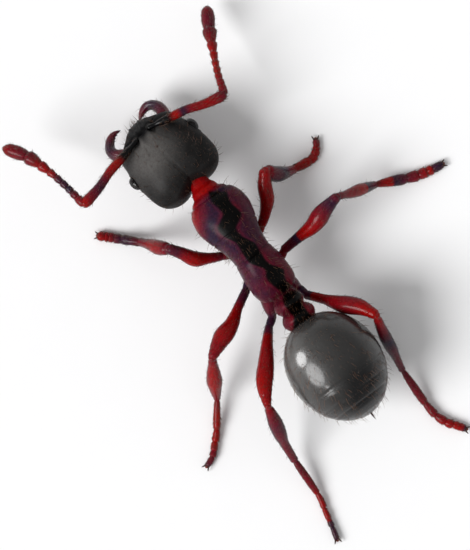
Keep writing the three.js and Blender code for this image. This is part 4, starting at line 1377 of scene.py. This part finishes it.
# Centre lines of each leg, the toes' seen from above, and half widths along its segments as (share of the
# length, half width) stops, without the limbs' own swelling.
LEG_LINES = {
    ("fore", "left"): {
        "hip": (0.39, 0.17, 0.82),
        "femur": [(0.551, 0.088, 0.884), (0.782, -0.04, 0.997), (1.01, -0.196, 1.1), (1.15, -0.438, 1.18),
                  (1.3, -0.668, 1.24)],
        "tibia": [(1.45, -0.815, 0.93), (1.57, -0.985, 0.62), (1.7, -1.15, 0.31)],
        "toes": [(2.0, -1.45), (2.12, -1.58), (2.21, -1.67), (2.27, -1.73), (2.37, -1.83)],
        "femur_wide": [(0, 0.08), (0.25, 0.105), (0.5, 0.148), (0.75, 0.118), (0.92, 0.105), (1, 0.098)],
        "tibia_wide": [(0, 0.09), (0.14, 0.128), (0.35, 0.143), (0.57, 0.122), (0.86, 0.086), (1, 0.078)],
        "tarsus_wide": [(0, 0.072), (0.4, 0.085), (0.85, 0.088), (1, 0.07)],
    },
    ("fore", "right"): {
        "hip": (-0.39, 0.16, 0.82),
        "femur": [(-0.547, 0.063, 0.89), (-0.75, -0.091, 1.01), (-0.93, -0.281, 1.12), (-1.06, -0.53, 1.21),
                  (-1.235, -0.765, 1.28)],
        "tibia": [(-1.4, -0.585, 0.957), (-1.57, -0.499, 0.633), (-1.75, -0.449, 0.31)],
        "toes": [(-2.17, -0.395), (-2.33, -0.459), (-2.41, -0.53), (-2.45, -0.582), (-2.53, -0.725)],
        "femur_wide": [(0, 0.085), (0.25, 0.105), (0.5, 0.138), (0.7, 0.143), (0.9, 0.122), (1, 0.112)],
        "tibia_wide": [(0, 0.098), (0.12, 0.145), (0.4, 0.152), (0.7, 0.112), (1, 0.08)],
        "tarsus_wide": [(0, 0.075), (0.4, 0.082), (0.6, 0.078), (0.8, 0.062), (1, 0.045)],
    },
    ("mid", "left"): {
        "hip": (0.4, 0.85, 0.82),
        "femur": [(0.56, 0.976, 0.903), (0.887, 1.15, 1.09), (1.21, 1.35, 1.26), (1.57, 1.47, 1.4),
                  (1.93, 1.65, 1.52)],
        "tibia": [(2.09, 1.9, 1.12), (2.24, 2.15, 0.727), (2.38, 2.41, 0.33)],
        "toes": [(2.79, 2.94), (2.98, 3.13), (3.12, 3.27), (3.23, 3.35), (3.45, 3.43)],
        "femur_wide": [(0, 0.08), (0.25, 0.086), (0.5, 0.142), (0.68, 0.184), (0.85, 0.142), (1, 0.088)],
        "tibia_wide": [(0, 0.078), (0.14, 0.084), (0.4, 0.136), (0.57, 0.152), (0.75, 0.122), (1, 0.062)],
        "tarsus_wide": [(0, 0.056), (0.35, 0.062), (0.6, 0.062), (0.85, 0.054), (1, 0.044)],
    },
    ("mid", "right"): {
        "hip": (-0.42, 0.86, 0.82),
        "femur": [(-0.609, 0.766, 0.904), (-0.975, 0.742, 1.09), (-1.35, 0.728, 1.26), (-1.72, 0.62, 1.41),
                  (-2.11, 0.542, 1.53)],
        "tibia": [(-2.37, 0.648, 1.13), (-2.65, 0.735, 0.73), (-2.92, 0.82, 0.33)],
        "toes": [(-3.53, 1.11), (-3.79, 1.21), (-3.98, 1.26), (-4.11, 1.29), (-4.37, 1.33)],
        "femur_wide": [(0, 0.085), (0.25, 0.1), (0.5, 0.152), (0.65, 0.182), (0.85, 0.132), (1, 0.09)],
        "tibia_wide": [(0, 0.068), (0.14, 0.068), (0.4, 0.1), (0.57, 0.116), (0.8, 0.095), (1, 0.066)],
        "tarsus_wide": [(0, 0.07), (0.28, 0.094), (0.57, 0.102), (0.86, 0.082), (1, 0.056)],
    },
    ("hind", "left"): {
        "hip": (0.44, 1.74, 0.82),
        "femur": [(0.626, 1.86, 0.917), (0.883, 2.14, 1.13), (1.14, 2.44, 1.32), (1.41, 2.75, 1.48),
                  (1.61, 3.11, 1.62)],
        "tibia": [(1.71, 3.55, 1.2), (1.81, 3.97, 0.773), (1.86, 4.41, 0.35)],
        "toes": [(1.9, 5.28), (1.98, 5.62), (2.04, 5.87), (2.08, 6.04), (2.16, 6.32)],
        "femur_wide": [(0, 0.075), (0.25, 0.112), (0.5, 0.156), (0.65, 0.17), (0.8, 0.146), (1, 0.078)],
        "tibia_wide": [(0, 0.072), (0.14, 0.1), (0.33, 0.14), (0.45, 0.138), (0.7, 0.086), (1, 0.072)],
        "tarsus_wide": [(0, 0.072), (0.3, 0.064), (0.5, 0.05), (0.75, 0.046), (1, 0.044)],
    },
    ("hind", "right"): {
        "hip": (-0.36, 1.58, 0.7),
        "femur": [(-0.406, 1.8, 0.816), (-0.636, 2.08, 1.06), (-0.866, 2.38, 1.28), (-1.13, 2.66, 1.48),
                  (-1.29, 2.97, 1.65)],
        "tibia": [(-1.19, 3.4, 1.22), (-1.13, 3.83, 0.783), (-1.06, 4.25, 0.35)],
        "toes": [(-1.03, 5.12), (-1.07, 5.47), (-1.16, 5.7), (-1.26, 5.84), (-1.42, 6.08)],
        "femur_wide": [(0, 0.082), (0.25, 0.09), (0.45, 0.145), (0.6, 0.18), (0.75, 0.165), (0.9, 0.12),
                       (1, 0.095)],
        "tibia_wide": [(0, 0.078), (0.14, 0.084), (0.4, 0.116), (0.57, 0.112), (0.8, 0.07), (1, 0.06)],
        "tarsus_wide": [(0, 0.06), (0.2, 0.072), (0.5, 0.068), (0.8, 0.08), (1, 0.05)],
    },
}
COXA_TOPS = {"fore": (0.24, -0.45, 1.19), "mid": (0.2, 0.52, 1.21), "hind": (0.2, 1.2, 1.21)}
COXA_HALF_WIDTHS = {"fore": 0.19, "mid": 0.17, "hind": 0.18}
COXA_TAPER = [(0, 0.75), (0.25, 1), (0.6, 0.86), (0.9, 0.6), (1, 0.5)]  # as shares of the half width
TROCHANTER_WIDE = [(0, 0.07), (0.35, 0.092), (0.75, 0.086), (1, 0.07)]
TOE_HEIGHTS = [0.13, 0.095, 0.088, 0.088, 0.075]
TARSUS_PARTS = [0.45, 0.18, 0.13, 0.09, 0.15]
TARSUS_END = 0.07  # how far the toes' centre line goes on past the last of them
TARSUS_DOWN = [300, 110, 90, 70, 90]  # fine bristles on each of its parts
TARSUS_SOLE = [30, 16, 14, 10, 8]  # bristles under each of them
FLOOR_GAP = 0.004  # between the toes and the floor
CLAW = [(0, 0), (0.055, 0.018), (0.1, -0.012), (0.125, -0.06)]  # outwards and up from its root
COMB = [(0, 0, 0), (0.1, 0.03, -0.05), (0.16, 0.12, -0.03)]  # along the tibia, along the foot, sideways
COMB_TEETH = 12
SPUR = [(0, 0), (0.05, 0.02), (0.1, 0.025)]  # along the tibia and outwards
# Shades along each leg from bright (0) to plum (1), by segment.
LEG_SHADES = {
    ("fore", "left"): {"femur": [(0, 0.55), (0.3, 0.1), (0.5, 0), (0.72, 0.25), (0.9, 0.8), (1, 0.75)],
                       "tibia": [(0, 0.6), (0.25, 0.15), (0.5, 0), (0.8, 0.35), (1, 0.5)],
                       "tarsus": [(0, 0.5), (0.3, 0.95), (0.5, 0.8), (0.75, 0.2), (1, 0)]},
    ("fore", "right"): {"femur": [(0, 0.05), (0.12, 0.1), (0.5, 0.05), (1, 0.05)],
                        "tibia": [(0, 0.1), (0.15, 0.7), (0.45, 0.85), (0.75, 0.4), (1, 0.15)],
                        "tarsus": [(0, 0.15), (0.3, 0), (0.7, 0.1), (0.9, 0.5), (1, 1)]},
    ("mid", "left"): {"femur": [(0, 0.95), (0.15, 0.75), (0.32, 0.1), (0.5, 0), (0.8, 0.15), (1, 0.4)],
                      "tibia": [(0, 0.35), (0.3, 0.05), (0.6, 0.05), (1, 0.35)],
                      "tarsus": [(0, 0.3), (0.2, 0.05), (0.55, 0), (0.8, 0.5), (1, 0.95)]},
    ("mid", "right"): {"femur": [(0, 0.4), (0.18, 0.75), (0.27, 0.95), (0.29, 0.02), (0.5, 0.1), (0.75, 0.5),
                                 (0.92, 0.95), (1, 0.7)],
                       "tibia": [(0, 0.6), (0.3, 0.3), (0.62, 0), (0.7, 0.05), (0.72, 0.95), (0.95, 0.6),
                                 (1, 0.5)],
                       "tarsus": [(0, 0.45), (0.22, 0), (0.26, 0.95), (0.5, 0.55), (0.8, 0.02), (0.83, 0.95),
                                  (1, 0.9)]},
    ("hind", "left"): {"femur": [(0, 0.9), (0.1, 0.75), (0.13, 0.1), (0.5, 0.1), (0.8, 0), (1, 0.1)],
                       "tibia": [(0, 0.2), (0.2, 0.6), (0.4, 0.7), (0.65, 0.5), (1, 0.6)],
                       "tarsus": [(0, 0.6), (0.3, 0.45), (0.55, 0.05), (0.74, 0), (0.78, 0.95), (1, 0.9)]},
    ("hind", "right"): {"femur": [(0, 0.95), (0.08, 0.9), (0.1, 0.02), (0.4, 0.2), (0.7, 0.25), (0.9, 0),
                                  (1, 0)],
                        "tibia": [(0, 0.05), (0.25, 0.6), (0.45, 0.95), (0.7, 0.7), (1, 0.6)],
                        "tarsus": [(0, 0.6), (0.3, 0.45), (0.6, 0.3), (0.85, 0), (0.93, 0.1), (0.96, 0.9),
                                   (1, 0.9)]},
}


class Leg:
    """The joints, centre lines, half widths and shades of one leg."""

    def __init__(self, pair, side):
        lines = LEG_LINES[pair, side]
        self.pair, self.name, self.coat = pair, f"{pair}_{side}", f"{pair}_{side}_bristles"
        self.shades = LEG_SHADES[pair, side]
        self.wide = {part: swollen(lines[f"{part}_wide"]) for part in self.shades}
        self.top, self.hip = mirrored(COXA_TOPS[pair], side), np.array(lines["hip"])
        self.knee, self.ankle = np.array(lines["femur"][-1]), np.array(lines["tibia"][-1])
        self.coxa, self.trochanter = Path([self.top, self.hip]), Path([self.hip, lines["femur"][0]])
        self.femur, self.tibia = Path(lines["femur"]), Path([self.knee, *lines["tibia"]])
        toes = [(*place, height) for place, height in zip(lines["toes"], TOE_HEIGHTS)]
        self.foot = Path([self.ankle, *toes])

    def finish(self, piece, part):
        piece.finish(f"{self.name}_{part}_shell", "Limb shell", "leg_shell", [f"{self.name}_{part}"])


class ANT_OT_legs(bpy.types.Operator):
    """Builds the six legs: coxa, trochanter, femur, tibia with its spurs, five tarsal joints and claws"""

    bl_idname = "ant.legs"
    bl_label = "Legs"

    def execute(self, context):
        for pair, side in LEG_LINES:
            leg = Leg(pair, side)
            for build in (self.hip, self.limbs, self.joints, self.foot, self.claws, self.spurs):
                build(leg)
        return {"FINISHED"}

    def hip(self, leg):
        """The coxa and the trochanter."""
        wide = [(place, size * COXA_HALF_WIDTHS[leg.pair]) for place, size in COXA_TAPER]
        skin = tube(leg.coxa, wide, span=(0.02, 0.96), rings=36, sides=48)
        along, _ = skin.grid()
        skin.push(-0.012 * crest(along - 0.9, 0.03))
        leg.finish(Piece().skin(skin, shade=0.72 + 0.2 * crest(along - 1, 0.2)), "coxa")
        plant(leg.coat, "coxa", skin, 14)
        skin = tube(leg.trochanter, TROCHANTER_WIDE, span=(-0.1, 1), rings=24)
        leg.finish(Piece().skin(skin, shade=profile(leg.shades["femur"], 0)), "trochanter")

    def limbs(self, leg):
        """The femur, and the tibia with a groove below its knee."""
        skin = tube(leg.femur, leg.wide["femur"], span=(0, 0.985), rings=70, sides=40)
        self.limb(leg, "femur", skin, 0.93)
        skin = tube(leg.tibia, leg.wide["tibia"], span=(0.012, 0.975), rings=64, sides=36)
        skin.push(-0.02 * crest(skin.grid()[0] - 0.035, 0.03))
        self.limb(leg, "tibia", skin, 0.97)

    def limb(self, leg, part, skin, rim):
        """Adds a long segment with its rim, shades with painted shade along its sides and underside, and
        bristles.
        """
        along, _ = skin.grid()
        skin.push(-0.007 * crest(along - rim, 0.012) + 0.004 * crest(along - rim - 0.025, 0.01))
        # Painted shade: darker where the surface turns away from facing up, along the sides and underneath
        edge = smooth(0.62, 0.0, skin.normals()[..., 2])
        shade = np.clip(profile(leg.shades[part], along) + 0.45 * edge, 0, 1)
        leg.finish(Piece().skin(skin, shade=shade), part)
        plant(leg.coat, "limb down", skin, 340)
        plant(leg.coat, "limb", skin, 46)

    def joints(self, leg):
        """The soft skins at the knee, hip, ankle and body."""
        piece = Piece()
        for centre, half_axes, shade in ((leg.knee - [0, 0, 0.012], 0.064, 0.5), (leg.hip, 0.085, 0.5),
                                         (leg.ankle, 0.056, 0.5), (leg.top, (0.15, 0.16, 0.12), 0.6)):
            piece.skin(ball(centre, half_axes), shade=shade)
        piece.finish(f"{leg.name}_joints", "Joint skin", "leg_shell")

    def foot(self, leg):
        """The five parts of the tarsus."""
        edges = np.concatenate([[0], np.cumsum(TARSUS_PARTS)]) * (1 - TARSUS_END / leg.foot.length)
        piece = Piece()
        for order, (start, end) in enumerate(zip(edges, edges[1:])):
            span = start + 0.004, end - 0.003
            bead = segment(leg.foot, span, leg.wide["tarsus"], rings=16 if order else 30)
            bead.points[..., 2] = np.maximum(bead.points[..., 2], FLOOR_GAP)
            along, _ = bead.grid()
            piece.skin(bead, shade=profile(leg.shades["tarsus"], start + (end - start) * along))
            plant(leg.coat, "toe down", bead, TARSUS_DOWN[order])
            under = smooth(0.0, -0.6, bead.normals()[..., 2]) * smooth(0.3, 0.9, along)
            plant(leg.coat, "sole", bead, TARSUS_SOLE[order], under + SPARSE)
        leg.finish(piece, "tarsus")

    def claws(self, leg):
        """Two curved claws and the soft pad between them."""
        tip, way = leg.foot.at(1 - 0.08 / leg.foot.length), unit(leg.foot.way(1.0) * [1, 1, 0])
        side = np.cross(UP, way)
        claws = Piece()
        for lean in (-1, 1):
            out = unit(way + lean * 0.55 * side)
            root = tip + lean * 0.022 * side + [0, 0, 0.012]
            claws.skin(spike([root + reach * out + [0, 0, rise] for reach, rise in CLAW], 0.021, tip=0.08))
        claws.finish(f"{leg.name}_claws", "Horn", "claw")
        pad = Piece().skin(ball(tip + 0.045 * way - [0, 0, 0.022], (0.03, 0.03, 0.02)), shade=0.3)
        pad.finish(f"{leg.name}_pad", "Joint skin", "leg_shell")

    def spurs(self, leg):
        """The spurs at the end of the tibia: a fringed comb on a foreleg, and two plain ones elsewhere."""
        way, drop = leg.tibia.way(0.97), leg.foot.way(0.02)
        side = unit(np.cross(way, UP))
        piece = Piece()
        if leg.pair == "fore":
            root = leg.tibia.at(0.95) - side * 0.04 + [0, 0, -0.02]
            line = root + np.array(COMB) @ [way, drop, side]
            piece.skin(spike(line, 0.02))
            for share in np.linspace(0.25, 0.95, COMB_TEETH):
                foot = Path(line).at(share)
                piece.skin(spike([foot, foot + side * 0.04 + drop * 0.02], 0.004, sides=5))
        else:
            for outwards in (-side, side):
                start = leg.tibia.at(0.96) + 0.045 * outwards - [0, 0, 0.02]
                piece.skin(spike(start + np.array(SPUR) @ [way, outwards], 0.011, sides=8))
        piece.finish(f"{leg.name}_spurs", "Horn", "claw")


class ANT_OT_bristles(bpy.types.Operator):
    """Makes the bristles planted so far into one mesh for each part of the body"""

    bl_idname = "ant.bristles"
    bl_label = "Bristles"

    def execute(self, context):
        if not COATS:
            raise RuntimeError("the shells come before the bristles")
        for coat in COATS:
            finish_coat(coat)
        return {"FINISHED"}


# ---------------------------------------------------------------------------------------------------------
# Materials of the ant, and the studio
# ---------------------------------------------------------------------------------------------------------

# Heights of the fine sculpture in micrometres, and the direction across its striae by how many there are.
LIMB_SCULPTURE = {"Pits": 1.2, "Cells": 0.5, "Striae": 0.0, "Ripples": 3.0}
TRUNK_SCULPTURE = {"Pits": 2.0, "Cells": 0.8, "Striae": 0.35, "Ripples": 4.0, "Stria Way": (0, 90000, 150000)}
HEAD_SCULPTURE = {"Pits": 3.0, "Cells": 0.7, "Striae": 0.25, "Ripples": 2.5, "Stria Way": (210000, 12000, 0)}
GASTER_SCULPTURE = {"Pits": 3.0, "Cells": 0.5, "Striae": 0.0, "Ripples": 2.0}
MANDIBLE_SCULPTURE = {**LIMB_SCULPTURE, "Striae": 0.5, "Stria Way": (0, 0, 260000)}
JOINT_SCULPTURE = {**LIMB_SCULPTURE, "Ripples": 6.0}
EYE_COLOUR = (0.006, 0.005, 0.005)


class ANT_OT_materials(bpy.types.Operator):
    """Makes the shell, horn, eye, joint and bristle materials"""

    bl_idname = "ant.materials"
    bl_label = "Materials"

    def execute(self, context):
        colours = context.scene.ant_colours
        limbs, soot = (tuple(colours.bright), tuple(colours.plum)), tuple(colours.soot)
        make_tone_group()
        make_sculpture_group()
        shell("Limb shell", *limbs, LIMB_SCULPTURE, gloss=(0.16, 0.24), band=soot, glow=0.08,
              wax=(0.22, 0.16), polish=0.05)
        shell("Trunk shell", *limbs, TRUNK_SCULPTURE, gloss=(0.18, 0.28), band=tuple(colours.band), glow=0.05,
              wax=(0.12, 0.3), polish=0.03)
        shell("Head shell", tuple(colours.head), soot, HEAD_SCULPTURE, mottle=0.3, gloss=(0.3, 0.42),
              wax=(0.06, 0.3), polish=0.03)
        shell("Gaster shell", tuple(colours.gaster), soot, GASTER_SCULPTURE, mottle=0.2, gloss=(0.16, 0.22),
              wax=(0.5, 0.16), polish=0.2)
        shell("Mandible shell", *limbs, MANDIBLE_SCULPTURE, glow=0.05)
        plain("Eye", EYE_COLOUR, LIMB_SCULPTURE, (0.1, 0.18))
        plain("Horn", tuple(colours.horn), LIMB_SCULPTURE, (0.16, 0.28))
        plain("Joint skin", tuple(colours.skin), JOINT_SCULPTURE, (0.4, 0.55), glow=0.2)
        bristle_material(tuple(colours.gold))
        return {"FINISHED"}


VIEW_CENTRE = (0.539, 0.576)  # the middle of the view, in the body's home
VIEW_SIZE = 11.385  # millimetres that the view's height shows, at a height of 1 mm over the floor
VIEW_HEIGHT = 130  # height of the camera
VIEW_TURN = Matrix(((-0.8, -0.6, 0), (0.6, -0.8, 0), (0, 0, 1)))  # from above, the head at the lower left
SENSOR = 36
CLIPPING = (0.001, 10)  # in metres
FLOOR_RADIUS = 900
FLOOR_SIDES = 96
# Lamps are turned to the gaster's centre, at a heading and an elevation in degrees in the body's home.
KEY = {"heading": -8, "elevation": 42.5, "distance": 75, "spread": 34}
# Small lamps that glint in the gaster: [name, heading, elevation, distance, width, height, power in watts].
LAMPS = [
    ["shine", -41.7, 29.4, 2.12, 0.8, 0.8, 0.000031],
    ["catchlight", 26, 45, 40, 5.5, 5.5, 0.0012],
]
GLINTING = ("gaster_", "eye_")  # how the names of the pieces that those lamps light begin
ZENITH_FADE = (0.04, 0.4)  # sines of the elevations between which the surroundings darken


class ANT_OT_studio(bpy.types.Operator):
    """Sets up the pale floor, the soft lights and the camera over the ant"""

    bl_idname = "ant.studio"
    bl_label = "Studio"

    def execute(self, context):
        scene, settings = context.scene, context.scene.ant_studio
        self.floor(tuple(settings.floor))
        key = bpy.data.lights.new("key", "SUN")
        key.energy, key.angle = settings.key, math.radians(KEY["spread"])
        self.lamp(key, KEY["heading"], KEY["elevation"], KEY["distance"])
        glinting = bpy.data.collections.new("Glinting shells")
        for piece in scene.objects:
            if piece.name.startswith(GLINTING):
                glinting.objects.link(piece)
        for name, heading, elevation, distance, width, height, power in LAMPS:
            lamp = bpy.data.lights.new(name, "AREA")
            lamp.shape = "ELLIPSE"
            lamp.size, lamp.size_y, lamp.energy = width * MM, height * MM, power
            self.lamp(lamp, heading, elevation, distance).light_linking.receiver_collection = glinting
        scene.world = self.surroundings(settings.horizon, settings.overhead)
        scene.view_settings.view_transform = "Standard"
        scene.camera = self.camera()
        return {"FINISHED"}

    def lamp(self, data, heading, elevation, distance):
        """Puts a lamp at a heading and elevation, turned to the gaster."""
        turn, rise = math.radians(heading), math.radians(elevation)
        way = np.array([math.cos(turn) * math.cos(rise), math.sin(turn) * math.cos(rise), math.sin(rise)])
        return self.put(data, GASTER_CENTRE + way * distance, Vector(way).to_track_quat("Z", "Y"))

    def put(self, data, place, turn):
        """Puts a lamp or a camera at a place in the body's home."""
        made = bpy.data.objects.new(data.name, data)
        made.location = (BODY[1] + place) * MM
        made.rotation_mode = "QUATERNION"
        made.rotation_quaternion = turn
        made.visible_camera = False
        bpy.context.scene.collection.objects.link(made)
        return made

    def surroundings(self, horizon, overhead):
        """Pale at the horizon and darker overhead, so that dark shell stays dark from above."""
        world = bpy.data.worlds.new("Surroundings")
        world.use_nodes = True
        tree = world.node_tree
        way = node(tree, "TexCoord").outputs["Generated"]
        rise = node(tree, "SeparateXYZ", {"Vector": way}).outputs["Z"]
        strength = ramp(tree, rise, *ZENITH_FADE, horizon, overhead)
        fill(tree, tree.nodes["Background"], {"Strength": strength, "Color": (1, 1, 1, 1)})
        return world

    def floor(self, colour):
        floor_material(colour)
        angle = ring_angles(FLOOR_SIDES)
        rim = np.stack([np.cos(angle), np.sin(angle), 0 * angle], -1) * FLOOR_RADIUS
        mesh = new_mesh("floor", rim, [list(range(FLOOR_SIDES))], "Studio floor", {})
        floor = bpy.data.objects.new("floor", mesh)
        bpy.context.scene.collection.objects.link(floor)

    def camera(self):
        lens = bpy.data.cameras.new("camera")
        lens.sensor_width = SENSOR
        lens.lens = SENSOR * (VIEW_HEIGHT - 1) / VIEW_SIZE
        lens.clip_start, lens.clip_end = CLIPPING
        return self.put(lens, np.array([*VIEW_CENTRE, VIEW_HEIGHT]), VIEW_TURN.to_quaternion())


STEPS = [ANT_OT_materials, ANT_OT_head, ANT_OT_eyes, ANT_OT_mandibles, ANT_OT_antennae, ANT_OT_trunk,
         ANT_OT_waist, ANT_OT_gaster, ANT_OT_legs, ANT_OT_bristles, ANT_OT_studio]
GROUPS = {"ant_colours": AntColours, "ant_bristles": AntBristles, "ant_studio": AntStudio}


class ANT_PT_builder(bpy.types.Panel):
    """Lists the settings and the building steps"""

    bl_idname = "ANT_PT_builder"
    bl_label = "Fire Ant"
    bl_space_type = "VIEW_3D"
    bl_region_type = "UI"
    bl_category = "Fire Ant"

    def draw(self, context):
        for name, group in GROUPS.items():
            box = self.layout.box()
            for setting in group.__annotations__:
                box.prop(getattr(context.scene, name), setting)
        for step in STEPS:
            self.layout.operator(step.bl_idname)


def register():
    for kind in (*GROUPS.values(), *STEPS, ANT_PT_builder):
        bpy.utils.register_class(kind)
    for name, group in GROUPS.items():
        setattr(bpy.types.Scene, name, bpy.props.PointerProperty(type=group))


def unregister():
    for name in GROUPS:
        delattr(bpy.types.Scene, name)
    for kind in (ANT_PT_builder, *reversed(STEPS), *reversed(GROUPS.values())):
        bpy.utils.unregister_class(kind)


def main():
    register()
    for step in STEPS:
        getattr(bpy.ops.ant, step.bl_idname.split(".")[1])()


if __name__ == "__main__":
    main()
